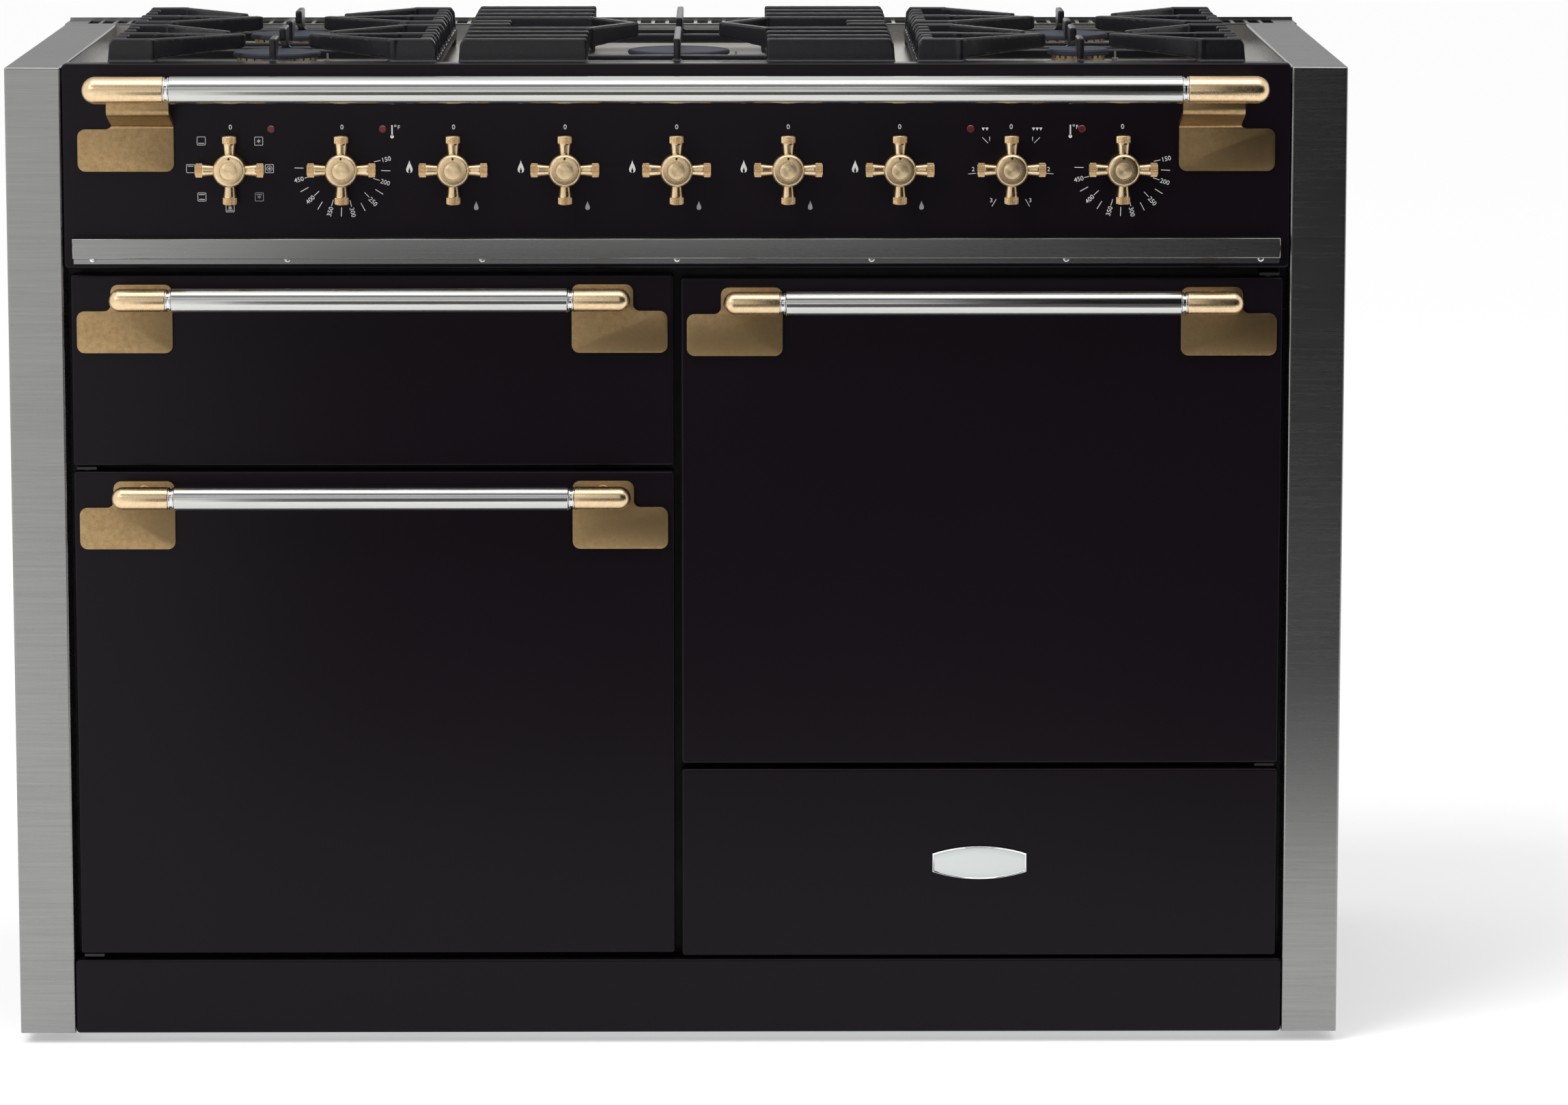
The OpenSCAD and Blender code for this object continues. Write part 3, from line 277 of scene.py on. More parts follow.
class Finish:
    """One material: even values go on the shader's own sockets, what varies comes from nodes."""

    def __init__(self, name, **sockets):
        self.material = bpy.data.materials.new(name)
        self.material.use_nodes = True
        self.tree = self.material.node_tree
        self.shader = self.tree.nodes["Principled BSDF"]
        self.place = self.add("ShaderNodeTexCoord")["Object"]
        for key, value in sockets.items():
            self.shader.inputs[key.replace("_", " ")].default_value = value

    def add(self, kind, settings=None, **inputs):
        return node_in(self.tree, kind, settings, **inputs)

    def use(self, output, socket):
        self.tree.links.new(output, self.shader.inputs[socket])

    def tint(self, factor, dark, light):
        """A base colour that varies between two colours."""
        self.use(blend_colours(self.tree, factor, (*dark, 1), (*light, 1)), "Base Color")

    def bump(self, height, distance):
        relief = self.add("ShaderNodeBump", Strength=1.0, Distance=distance, Height=height)
        self.use(relief["Normal"], "Normal")

    def pattern(self, group, dark, light, smoothest, roughest, depth=None, **values):
        """Colour and roughness from a pattern group, and its relief if it gets a depth."""
        made = self.add("ShaderNodeGroup", {"node_tree": group}, Place=self.place, Dark=(*dark, 1),
                        Light=(*light, 1), Smoothest=smoothest, Roughest=roughest, **values)
        self.use(made["Colour"], "Base Color")
        self.use(made["Roughness"], "Roughness")
        if depth:
            self.bump(made["Height"], depth)


def node_group(name, kind, outputs, inputs):
    """A group with outputs (name, kind) and inputs (name, kind, default), and the inputs' sockets."""
    tree = bpy.data.node_groups.new(name, kind)
    for label, socket in outputs:
        tree.interface.new_socket(name=label, in_out="OUTPUT", socket_type=socket)
    for label, socket, default in inputs:
        tree.interface.new_socket(name=label, in_out="INPUT", socket_type=socket).default_value = default
    return tree, tree.nodes.new("NodeGroupInput").outputs


def pattern_group(name, *own):
    """A group for a pattern: its own inputs, and the ones that every pattern has."""
    outputs = [("Colour", COLOUR), ("Roughness", NUMBER), ("Height", NUMBER)]
    return node_group(name, "ShaderNodeTree", outputs, [
        ("Place", VECTOR, (0, 0, 0)), *own,
        ("Dark", COLOUR, WHITE), ("Light", COLOUR, WHITE), ("Smoothest", NUMBER, 0), ("Roughest", NUMBER, 1)])


def end_pattern(tree, given, value, low, high, height):
    """Spreads the pattern's value over its colours and roughnesses, and hands on its height."""
    spread = node_in(tree, "ShaderNodeMapRange", Value=value, From_Min=low, From_Max=high)[0]
    rough = node_in(tree, "ShaderNodeMapRange", Value=spread, To_Min=given["Roughest"],
                    To_Max=given["Smoothest"])
    tint = blend_colours(tree, spread, given["Dark"], given["Light"])
    node_in(tree, "NodeGroupOutput", Colour=tint, Roughness=rough[0], Height=height)
    return tree


def make_grain():
    """Brushed streaks: a noise drawn out along one direction, with a finer one over it."""
    tree, given = pattern_group("brushed grain", ("Stretch", VECTOR, ALONG_X))
    drawn = node_in(tree, "ShaderNodeVectorMath", {"operation": "MULTIPLY"}, i0=given["Place"],
                    i1=given["Stretch"])[0]
    cloud = noise_in(tree, given["Place"], 5.0, 2.0)
    streaks = blend(tree, 0.4, noise_in(tree, drawn, 1.0, 3.0, 0.6), noise_in(tree, drawn, 3.7, 2.0))
    mixed = blend(tree, 0.25, streaks, cloud)
    return end_pattern(tree, given, mixed, 0.32, 0.68, streaks)


def make_mottle():
    """Patches and fine grains, as on brass that was aged, or on sheet with a crystal coat."""
    tree, given = pattern_group("mottled surface", ("Patch Scale", NUMBER, 60.0),
                                ("Grain Scale", NUMBER, 900.0))
    patch = noise_in(tree, given["Place"], given["Patch Scale"], 4.0, 0.6)
    grain = noise_in(tree, given["Place"], given["Grain Scale"], 2.0)
    return end_pattern(tree, given, blend(tree, 0.5, patch, grain), 0.36, 0.64, grain)


GRAIN = make_grain()
MOTTLE = make_mottle()


def brushed(name, *looks, stretch=ALONG_X, depth=4e-6):
    """Bright metal with a brushed grain; its looks are dark, light, smoothest and roughest."""
    finish = Finish(name, Metallic=1.0)
    finish.pattern(GRAIN, *looks, depth, Stretch=stretch)
    return finish.material


def mottled(name, *looks, patch=60.0, grain=900.0, depth=8e-6, metallic=1.0):
    """Metal or coated sheet with patches and grains; its looks are given as for brushed."""
    finish = Finish(name, Metallic=metallic)
    finish.pattern(MOTTLE, *looks, depth, Patch_Scale=patch, Grain_Scale=grain)
    return finish.material


def speckled(name, ground, speck, scale, share, rough, depth, **sockets):
    """A ground with small specks in it, as on cast iron and on oven enamel."""
    finish = Finish(name, Roughness=rough, **sockets)
    cells = finish.add("ShaderNodeTexVoronoi", Vector=finish.place, Scale=scale)
    pick = finish.add("ShaderNodeSeparateColor", i0=cells["Color"])
    mask = math_in(finish.tree, "GREATER_THAN", pick[0], 1 - share)
    core = finish.add("ShaderNodeMapRange", Value=cells["Distance"], From_Min=0.45, From_Max=0.2)
    finish.tint(math_in(finish.tree, "MULTIPLY", mask, core[0]), ground, speck)
    finish.bump(noise_in(finish.tree, finish.place, scale * 1.3, 3.0), depth)
    return finish.material


def gloss_enamel(name, ground, rough, **sockets):
    """Fired enamel: an almost even ground with a faint orange-peel ripple."""
    finish = Finish(name, Roughness=rough, **sockets)
    cloud = noise_in(finish.tree, finish.place, 7.0, 3.0)
    finish.tint(cloud, [c * 0.9 for c in ground], [c * 1.1 for c in ground])
    finish.bump(noise_in(finish.tree, finish.place, 420.0, 1.0), PEEL_DEPTH)
    return finish.material


def make_lens():
    """Red lens with a pattern of small facets under its skin."""
    finish = Finish("red lens", Roughness=0.3, Coat_Weight=0.3)
    facets = finish.add("ShaderNodeTexVoronoi", Vector=finish.place, Scale=900.0)["Distance"]
    finish.tint(facets, (0.20, 0.001, 0.006), (0.05, 0.0, 0.002))
    finish.bump(facets, 1.5e-4)
    return finish.material


def make_turned_brass():
    """Brass faced on a lathe: fine rings about the knob's own axis, from the piece's own map."""
    finish = Finish("turned brass", Metallic=1.0)
    finish.pattern(MOTTLE, (0.80, 0.60, 0.36), (0.92, 0.71, 0.44), 0.26, 0.34, Patch_Scale=160.0,
                   Grain_Scale=1500.0)
    own = finish.add("ShaderNodeUVMap", {"uv_map": "turned"})
    radius = finish.add("ShaderNodeVectorMath", {"operation": "LENGTH"}, i0=own[0])
    wave = math_in(finish.tree, "MULTIPLY", radius["Value"], 24000.0)
    finish.bump(math_in(finish.tree, "SINE", wave), RING_DEPTH)
    return finish.material


ENAMEL = gloss_enamel("aubergine enamel", (0.0060, 0.0037, 0.0064), 0.27, Specular_IOR_Level=0.13)
STEEL_SHEET = brushed("brushed steel sheet", (0.262, 0.262, 0.259), (0.318, 0.318, 0.313), 0.23, 0.30)
HOB_STEEL = brushed("hob steel", (0.50, 0.48, 0.445), (0.60, 0.58, 0.54), 0.25, 0.36,
                    stretch=(6.0, 300.0, 300.0))
TUBE_STEEL = brushed("polished tube steel", (0.54, 0.54, 0.525), (0.66, 0.66, 0.64), 0.10, 0.18,
                     stretch=(14.0, 700.0, 700.0), depth=3e-6)
CHROME = brushed("chrome", (0.74, 0.74, 0.75), (0.80, 0.80, 0.81), 0.05, 0.09, depth=1e-6)
AGED_BRASS = mottled("aged brass", (0.30, 0.198, 0.093), (0.45, 0.305, 0.152), 0.30, 0.42,
                     patch=240.0, grain=1500.0, depth=1.2e-5)
BRASS = mottled("satin brass", (0.73, 0.54, 0.32), (0.88, 0.67, 0.42), 0.22, 0.32, patch=220.0, grain=1500.0)
CAST_IRON = speckled("cast iron", (0.0062, 0.0061, 0.0082), (0.028, 0.0285, 0.034), 1500.0, 0.22, 0.30,
                     4e-5, Specular_IOR_Level=0.38)
CAP_ENAMEL = speckled("burner cap enamel", (0.030, 0.034, 0.050), (0.06, 0.066, 0.085), 2200.0, 0.2, 0.55,
                      1.5e-5, Specular_IOR_Level=0.12)
ZINC_SHEET = mottled("zinc coated sheet", (0.40, 0.42, 0.44), (0.55, 0.57, 0.59), 0.34, 0.52,
                     patch=90.0, grain=300.0, depth=6e-6)
OVEN_ENAMEL = speckled("oven enamel", (0.022, 0.024, 0.030), (0.30, 0.31, 0.33), 700.0, 0.10, 0.22, 6e-6)
BLACK_STEEL = mottled("black steel", (0.014, 0.014, 0.014), (0.022, 0.022, 0.022), 0.42, 0.55, metallic=0.0)
BURNER_ALLOY = mottled("cast burner alloy", (0.40, 0.39, 0.37), (0.52, 0.51, 0.49), 0.40, 0.55,
                       patch=120.0, depth=3e-5)
HEATING_ROD = mottled("oxidised heating rod", (0.05, 0.05, 0.052), (0.12, 0.115, 0.11), 0.45, 0.6,
                      metallic=0.8)
PRINT = gloss_enamel("white print", (0.72, 0.72, 0.72), 0.5)
FAINT_PRINT = gloss_enamel("grey print", (0.34, 0.34, 0.35), 0.5)
HOLE_BLACK = gloss_enamel("pointer black", (0.004, 0.004, 0.004), 0.6)
BADGE_ENAMEL = gloss_enamel("pale badge enamel", (0.71, 0.75, 0.74), 0.18, Coat_Weight=0.5)
RED_LENS = make_lens()
TURNED_BRASS = make_turned_brass()


def make_liner():
    """Inner door wall of speckled enamel; behind its face the rope seal shows pale and braided."""
    material = OVEN_ENAMEL.copy()
    material.name = "door liner with rope seal"
    tree = material.node_tree
    base = tree.nodes["Principled BSDF"].inputs["Base Color"]
    place = next(n for n in tree.nodes if n.bl_idname == "ShaderNodeTexCoord").outputs["Object"]
    depth = node_in(tree, "ShaderNodeSeparateXYZ", i0=place)["Y"]
    behind = math_in(tree, "GREATER_THAN", depth, FRONT + LINER_FACE)
    braid = node_in(tree, "ShaderNodeTexWave", Vector=place, Scale=260.0)
    rope = blend_colours(tree, braid["Fac"], (0.12, 0.115, 0.10, 1), (0.30, 0.29, 0.26, 1))
    tree.links.new(blend_colours(tree, behind, base.links[0].from_socket, rope), base)
    return material


LINER = make_liner()

NODES_OF = (
    (STEEL_SHEET, "side_trims deflector_rail vent_grille"), (HOB_STEEL, "hob_tray"),
    (ZINC_SHEET, "back_panel base_tray control_gear grill_carriage drawer_box oven_fan"),
    (BLACK_STEEL, "levelling_feet front_frame door_hinges"), (BURNER_ALLOY, "burner_cups"),
    (BRASS, "burner_rings"), (CAP_ENAMEL, "burner_caps"), (RED_LENS, "indicator_lamps"),
    (OVEN_ENAMEL, "grill_box left_oven_box right_oven_box grill_pan"), (HEATING_ROD, "heating_elements"),
    (LINER, "left_door_liner right_door_liner"), (CHROME, "deflector_screws grill_rack oven_shelves"),
    (BADGE_ENAMEL, "badge"),
)
FINISH_OF = {node: finish for finish, names in NODES_OF for node in names.split()}
FINISH_OF_SET = {"knob_": BRASS, "spindle_": CHROME, "grate_": CAST_IRON, "_bar": TUBE_STEEL,
                 "_brackets": AGED_BRASS}


def finish_of(name):
    """A node's own finish, or the one of its set, or the enamel of the fronts and side panels."""
    of_its_set = [finish for part, finish in FINISH_OF_SET.items() if part in name]
    return FINISH_OF.get(name) or (of_its_set or [ENAMEL])[0]


for name, obj in nodes.items():
    obj.data.materials.clear()
    obj.data.materials.append(finish_of(name))

# ---- Camera, lights and floor ----

camera_data = bpy.data.cameras.new("camera")
camera = add_object("camera", camera_data)
camera_data.sensor_width = 36
camera_data.lens = 151.0
camera.location = (0.0508, -6.2199, 1.3618)
camera.rotation_euler = (radians(90 - 8.6355), 0, -0.0078)
bpy.context.scene.camera = camera
bpy.context.scene.view_settings.view_transform = "Standard"

STUDIO_WHITE = 1.0
AMBIENT = 0.5
FLOOR_GREY = 0.8
FLOOR_GLOW = 0.41
FLOOR_REACH = 60.0
CARD_GREY = 0.005
KEY_AIM = (0, 0, 0.5)


def sees_background(tree):
    """1 for the rays that show the background: from the camera, and off or through metal and glass."""
    path = node_in(tree, "ShaderNodeLightPath")
    either = math_in(tree, "ADD", path["Is Camera Ray"], path["Is Glossy Ray"], clamp=True)
    return math_in(tree, "ADD", either, path["Is Transmission Ray"], clamp=True)


def make_world():
    """Even white studio: full white where it is seen, dimmer where it only lights."""
    world = bpy.data.worlds.new("studio")
    bpy.context.scene.world = world
    world.use_nodes = True
    tree = world.node_tree
    background = tree.nodes["Background"]
    background.inputs["Color"].default_value = WHITE
    strength = node_in(tree, "ShaderNodeMapRange", Value=sees_background(tree), To_Min=AMBIENT,
                       To_Max=STUDIO_WHITE)
    tree.links.new(strength[0], background.inputs["Strength"])


def stage_board(name, points, grey, glow):
    """A flat matt board of the studio that gives off white light of strength glow."""
    finish = Finish(name, Base_Color=(grey, grey, grey, 1), Roughness=0.9, Specular_IOR_Level=0.0,
                    Emission_Color=WHITE, Emission_Strength=glow)
    mesh = bpy.data.meshes.new(name)
    mesh.from_pydata(points, [], [(0, 1, 2, 3)])
    mesh.materials.append(finish.material)
    return add_object(name, mesh), finish


def make_floor():
    """The floor glows only where it is seen, so that it reads as white and still holds the shadow."""
    far = FLOOR_REACH
    outline = [(-far, -far, 0), (far, -far, 0), (far, far, 0), (-far, far, 0)]
    floor, finish = stage_board("studio_floor", outline, FLOOR_GREY, 0.0)
    glow = math_in(finish.tree, "MULTIPLY", sees_background(finish.tree), FLOOR_GLOW)
    finish.use(glow, "Emission Strength")


def card(name, low, high, level=0.0):
    """An upright card, from black (0) to white (1), that only reflections see."""
    a, b = Vector(low), Vector(high)
    board, _ = stage_board(name, [a, (b.x, b.y, a.z), b, (a.x, a.y, b.z)], CARD_GREY, level)
    board.visible_camera = board.visible_diffuse = board.visible_shadow = False


def area_light(name, at, towards, width, height, power):
    data = bpy.data.lights.new(name, "AREA")
    data.shape = "RECTANGLE"
    data.size = width
    data.size_y = height
    data.energy = power
    light = add_object(name, data)
    light.location = at
    light.rotation_euler = (Vector(towards) - Vector(at)).to_track_quat("-Z", "Y").to_euler()


def sun_light(name, direction, strength, spread):
    """A broad sun that metal doesn't mirror."""
    sun = add_object(name, bpy.data.lights.new(name, "SUN"))
    sun.data.energy = strength
    sun.data.angle = radians(spread)
    sun.visible_glossy = False
    sun.rotation_euler = Vector(direction).to_track_quat("-Z", "Y").to_euler()


make_world()
make_floor()
sun_light("even_key", (0.55, 0.55, -0.9), 0.85, 28)
area_light("key_softbox", (-2.6, -3.4, 3.2), KEY_AIM, 2.6, 1.8, 45)
area_light("overhead_softbox", (0, -0.9, 3.2), (0, -0.25, 0.8), 3.4, 1.2, 26)
area_light("fill_softbox", (2.8, -3.6, 1.8), KEY_AIM, 1.6, 1.6, 12)
card("card_right", (0.30, -2.1, 0.02), (3.6, -1.3, 2.4))
card("card_high", (-2.6, -2.5, 2.2), (2.6, -2.5, 3.5), 0.22)
card("card_ahead", (-2.4, -2.6, 1.05), (2.4, -2.6, 2.0), 0.60)
card("card_level", (-0.50, -1.5, 0.02), (0.58, -1.5, 0.70), 0.11)
card("card_foot", (0.45, -1.3, 0.01), (1.4, -1.3, 0.16), 0.1)
card("card_behind_left", (-5.0, 3.2, 0.3), (-0.36, 3.2, 6.0), 0.45)
card("card_behind_right", (0.46, 3.2, 0.3), (5.0, 3.2, 6.0), 0.45)

# ---- Fronts and sheets with rounded edges ----

FOLD_ANGLE = radians(50)
NEAR = 0.4 * MM
FRONT_CORNER = 5.2 * MM
LONG_EDGE = 50 * MM
LIP_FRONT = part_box("deflector_rail")[0][1]
LIP_NEAR = 0.3 * MM


def rounded_copy(node, name, radius, pick, slot, material, segments=4):
    """A copy of a sheet part with its picked edges rounded, as on folded or enamelled sheet."""
    bm = merged_copy(node)
    folds = [e for e in bm.edges if len(e.link_faces) == 2 and e.calc_face_angle() > FOLD_ANGLE]
    bmesh.ops.bevel(bm, geom=[e for e in folds if pick(e)], offset=radius, segments=segments, profile=0.5,
                    affect="EDGES", clamp_overlap=True)
    bmesh.ops.triangulate(bm, faces=bm.faces)
    mesh = to_mesh(bm, name, outwards=False)
    shade(mesh)
    mesh = with_modifiers(mesh, ("WEIGHTED_NORMAL", dict(weight=100, keep_sharp=True)))
    replacement(node, name, mesh, slot, material, smooth=0)


def on_front_rim(node):
    """Picks the edges around the outline of a front's face, not the ones around its holes."""
    low, high = corners(node)

    def pick(edge):
        for v in edge.verts:
            inset = min(v.co.x - low.x, high.x - v.co.x, v.co.z - low.z, high.z - v.co.z)
            if v.co.y > low.y + NEAR or inset > FRONT_CORNER:
                return False
        return True

    return pick


def on_trim_folds(edge):
    """Picks the edges of the front face and the long ones along the top."""
    a, b = edge.verts[0].co, edge.verts[1].co
    front = all(v.co.y < FRONT + NEAR for v in edge.verts)
    top = all(v.co.z > TRIM_HIGH.z - NEAR for v in edge.verts)
    return front or (top and abs(a.y - b.y) > LONG_EDGE)


def on_lip(edge):
    return all(v.co.y < LIP_FRONT + LIP_NEAR for v in edge.verts)


for node in ("control_panel", "plinth", "left_door", "right_door", "grill_front", "drawer_front"):
    rounded_copy(node, node + "_enamel", FRONT_ROUND, on_front_rim(node), "enamel", ENAMEL)
rounded_copy("side_trims", "side_trim_sheets", TRIM_ROUND, on_trim_folds, "stainless", STEEL_SHEET)

# ---- Handles ----

LONG_TAB = 70 * MM
NECK_STEPS = 8


def cap_profile(length, width):
    """Round-nosed cap from its collar outwards: a small rolled edge, a straight barrel and a dome."""
    r = width / 2
    rim = 0.8 * MM
    rolled = [(rim - rim * cos(a), r - rim + rim * sin(a)) for a in (0.5, 1.0)]
    dome = [(length - r + r * sin(a), r * cos(a)) for a in quarter_turns(14)]
    return [(0, r - 1.6 * MM), (0, r - rim)] + rolled + [(rim, r)] + dome + [(length, 0.02 * r)]


def collar_profile(width):
    """Two beads with a groove between them."""
    r = width / 2
    bead = COLLAR * 0.36
    groove = r - 2.2 * MM
    points = [(0, groove)]
    for start, size in ((0.0, 0.4), (COLLAR - bead, 0.2)):
        points += [(start + bead / 2 - bead / 2 * cos(a), r - 1.6 * MM + (1.6 - size) * MM * sin(a))
                   for a in [pi * i / 8 for i in range(9)]]
    points.append((COLLAR, groove))
    return points


def grip_bar(node, tube_width, cap):
    """A bar in three finishes: a brushed tube, chrome collars and brass caps."""
    low, high = corners(node)
    centre = (low + high) / 2
    cap_length, cap_width = cap
    tube_half = (high.x - low.x) / 2 - cap_length - COLLAR
    length = 2 * tube_half
    r = tube_width / 2
    edge = 0.5 * MM
    tube, collars, caps = bmesh.new(), bmesh.new(), bmesh.new()
    lathe(tube, [(0, r - edge), (edge, r), (length - edge, r), (length, r - edge)],
          centre - Vector((tube_half, 0, 0)), (1, 0, 0), 96)
    for side in (-1, 1):
        start = centre + Vector((side * tube_half, 0, 0))
        lathe(collars, collar_profile(cap_width), start, (side, 0, 0), 72)
        cap_start = start + Vector((side * COLLAR, 0, 0))
        lathe(caps, cap_profile(cap_length, cap_width), cap_start, (side, 0, 0), 72)
    for bm, part, slot, material in ((tube, "tube", "stainless", TUBE_STEEL),
                                     (collars, "collars", "chrome", CHROME), (caps, "caps", "brass", BRASS)):
        name = f"{node}_{part}"
        replacement(node, name, to_mesh(bm, name), slot, material, smooth=40)


for node in ("left_door_bar", "right_door_bar", "grill_bar"):
    grip_bar(node, DOOR_TUBE, DOOR_CAP)
grip_bar("rail_bar", RAIL_TUBE, RAIL_CAP)


def bracket_outline(length):
    """Flat outline of a bracket, inner edge at 0: an ear as wide as the plate, a tab up to length."""
    wide, high = PLATE
    r = PLATE_ROUND
    fillet = 6 * MM
    tip = r if length < LONG_TAB else 2 * MM
    top = length - tip
    return (arc((wide - r, r), r, -90, 0, 7) + arc((wide - r, high - r), r, 0, 90, 7)
            + arc((TAB_WIDTH + fillet, high + fillet), fillet, 270, 180, 6)
            + arc((TAB_WIDTH - tip, top), tip, 0, 90, 7) + arc((tip, top), tip, 90, 180, 7)
            + arc((r, r), r, 180, 270, 7))


def bent_sheet(outline, path, cuts, side, start_x):
    """A sheet cut to an outline (across, along), bent to follow path(along) -> (y, z)."""
    bm = bmesh.new()
    bm.faces.new([bm.verts.new((x, 0, v)) for x, v in outline])
    for cut in cuts:
        everything = bm.verts[:] + bm.edges[:] + bm.faces[:]
        bmesh.ops.bisect_plane(bm, geom=everything, plane_co=(0, 0, cut), plane_no=(0, 0, 1))
    for v in bm.verts:
        y, z = path(v.co.z)
        v.co = Vector((side * (start_x + v.co.x), y, z))
    bmesh.ops.remove_doubles(bm, verts=bm.verts, dist=1e-6)
    wall = dict(thickness=PLATE_THICK, offset=0, use_even_offset=True)
    edge = dict(width=PLATE_BEVEL, segments=3, limit_method="ANGLE", angle_limit=FOLD_ANGLE)
    return with_modifiers(to_mesh(bm, "sheet"), ("SOLIDIFY", wall), ("BEVEL", edge))


def brass_bracket(node, meshes, shift):
    """Both brackets of a bar in one piece, moved across by shift."""
    name = node + "_brass"
    bm = bmesh.new()
    for mesh in meshes:
        bm.from_mesh(mesh)
        bpy.data.meshes.remove(mesh)
    mesh = to_mesh(bm, name)
    for v in mesh.vertices:
        v.co.x += shift
    replacement(node, name, mesh, "brass", AGED_BRASS, smooth=40)


def door_brackets(node):
    """Flat ears and tabs on a front, each with the round post that carries the bar."""
    low, high = corners(node)
    start_x = (high.x - low.x) / 2 - PLATE[0]
    sheet_y = FRONT - PLATE_THICK / 2
    reach = -low.y + FRONT
    outline = bracket_outline(PLATE[1] + TAB_RISE)
    profile = [(0, POST_FLANGE), (2.4 * MM, POST_FLANGE), (3.2 * MM, POST), (reach - 6 * MM, POST),
               (reach - 3 * MM, POST_FLANGE), (reach + 1 * MM, POST_FLANGE)]

    def flat(along):
        return sheet_y, low.z + along

    post = bmesh.new()
    sheets = []
    for side in (-1, 1):
        sheets.append(bent_sheet(outline, flat, [PLATE[1]], side, start_x))
        at = Vector((side * (start_x + TAB_WIDTH / 2), sheet_y, high.z - 10 * MM))
        lathe(post, profile, at, (0, -1, 0), 32)
    brass_bracket(node, sheets + [to_mesh(post, "post")], (low.x + high.x) / 2)


for node in ("left_door_brackets", "right_door_brackets", "grill_brackets"):
    door_brackets(node)


def neck_path(plate_z, neck_low, neck_high, neck_front, top_z):
    """The S that the top rail's bracket makes in side view, along the middle of its sheet.

    Returns path(along) -> (y, z) and its points (along, y, z)."""
    r = BEND - PLATE_THICK / 2
    run = -neck_front - 2 * BEND
    rise = neck_high - neck_low
    tilt = atan2(rise, run) - asin((2 * BEND - PLATE_THICK) / hypot(rise, run))
    turn = pi / 2 - tilt
    along = neck_low - plate_z
    points = [(0.0, -PLATE_THICK / 2, plate_z), (along, -PLATE_THICK / 2, neck_low)]
    for i in range(1, NECK_STEPS + 1):
        a = turn * i / NECK_STEPS
        points.append((along + r * a, -BEND + r * cos(a), neck_low + r * sin(a)))
    along += r * turn
    cy = neck_front + BEND
    upper_bend = []
    for i in range(NECK_STEPS + 1):
        a = turn * (NECK_STEPS - i) / NECK_STEPS
        upper_bend.append((r * turn * i / NECK_STEPS, cy - r * cos(a), neck_high - r * sin(a)))
    along += hypot(upper_bend[0][1] - points[-1][1], upper_bend[0][2] - points[-1][2])
    points += [(along + s, y, z) for s, y, z in upper_bend]
    along += r * turn
    points.append((along + top_z - neck_high, cy - r, top_z))

    def path(v):
        for (s0, y1, z1), (s1, y2, z2) in zip(points, points[1:]):
            if v <= s1 or s1 == points[-1][0]:
                t = (v - s0) / (s1 - s0)
                return FRONT + y1 + (y2 - y1) * t, z1 + (z2 - z1) * t

    return path, points


def rail_brackets(node):
    """Bent brackets that hold the towel rail; their tabs end inside it."""
    low, high = corners(node)
    bar = middle("rail_bar")
    start_x = (high.x - low.x) / 2 - PLATE[0]
    path, points = neck_path(low.z, low.z + PLATE[1], bar.z - RAIL_CAP[1] / 2 - 4 * MM,
                             bar.y - FRONT - PLATE_THICK / 2, bar.z)
    neck_from, neck_to = points[NECK_STEPS + 1][0], points[NECK_STEPS + 2][0]
    cuts = [p[0] for p in points[1:-1]] + [neck_from + (neck_to - neck_from) * i / 4 for i in (1, 2, 3)]
    outline = bracket_outline(points[-1][0])
    brass_bracket(node, [bent_sheet(outline, path, cuts, side, start_x) for side in (-1, 1)], 0)


rail_brackets("rail_brackets")

# ---- Knobs ----

ARM_STEPS = 10
KNURL_ROUND = 34
KNURL_ROWS = 5
KNOB_NUMBERS = range(1, 10)


def zigzag(x):
    return abs((x % 1.0) * 2 - 1)


def knurl_radii(u, around):
    """Radii of diamond ridges, where two sets of slanting grooves cross."""
    angles = [KNURL_ROUND * i / around for i in range(around)]
    ridges = [min(1.0, 1.6 * min(1 - zigzag(a + u), 1 - zigzag(a - u))) for a in angles]
    return [KNURL_DEEP + (KNURL_PROUD - KNURL_DEEP) * ridge for ridge in ridges]


def knob_arm(bm, direction):
    """A flared arm with a band of diamond knurling and a bevelled end."""
    direction = Vector(direction)
    side = Vector((0, 1, 0))
    other = direction.cross(side)
    centre = Vector((0, -KNOB_DEPTH / 2, 0))
    end = KNOB_SPAN / 2
    knurl_start = end - 0.6 * MM - KNURL_LENGTH
    around = KNURL_ROUND * 3
    rows = []

    def add_row(along, radii):
        at = centre + direction * along
        rows.append([bm.verts.new(at + spoke(side, other, i, around) * radii[i]) for i in range(around)])

    def add_ring(along, radius):
        add_row(along, [radius] * around)

    for i in range(ARM_STEPS + 1):
        t = i / ARM_STEPS
        add_ring(10.5 * MM + (knurl_start - 10.8 * MM) * t, (4.55 + 1.4 * t ** 1.25) * MM)
    add_ring(knurl_start, KNURL_DEEP - 0.15 * MM)
    count = KNURL_ROWS * 3
    for k in range(count + 1):
        along = knurl_start + 0.15 * MM + (KNURL_LENGTH - 0.3 * MM) * k / count
        add_row(along, knurl_radii(k / count * KNURL_ROWS, around))
    add_ring(knurl_start + KNURL_LENGTH + 0.1 * MM, KNURL_DEEP)
    add_ring(end - 0.3 * MM, KNURL_DEEP)
    add_ring(end - 0.05 * MM, 5.7 * MM)
    add_ring(end, 5.3 * MM)
    ring_faces(bm, rows)
    bm.faces.new(rows[-1])
    bm.faces.new(rows[0][::-1])


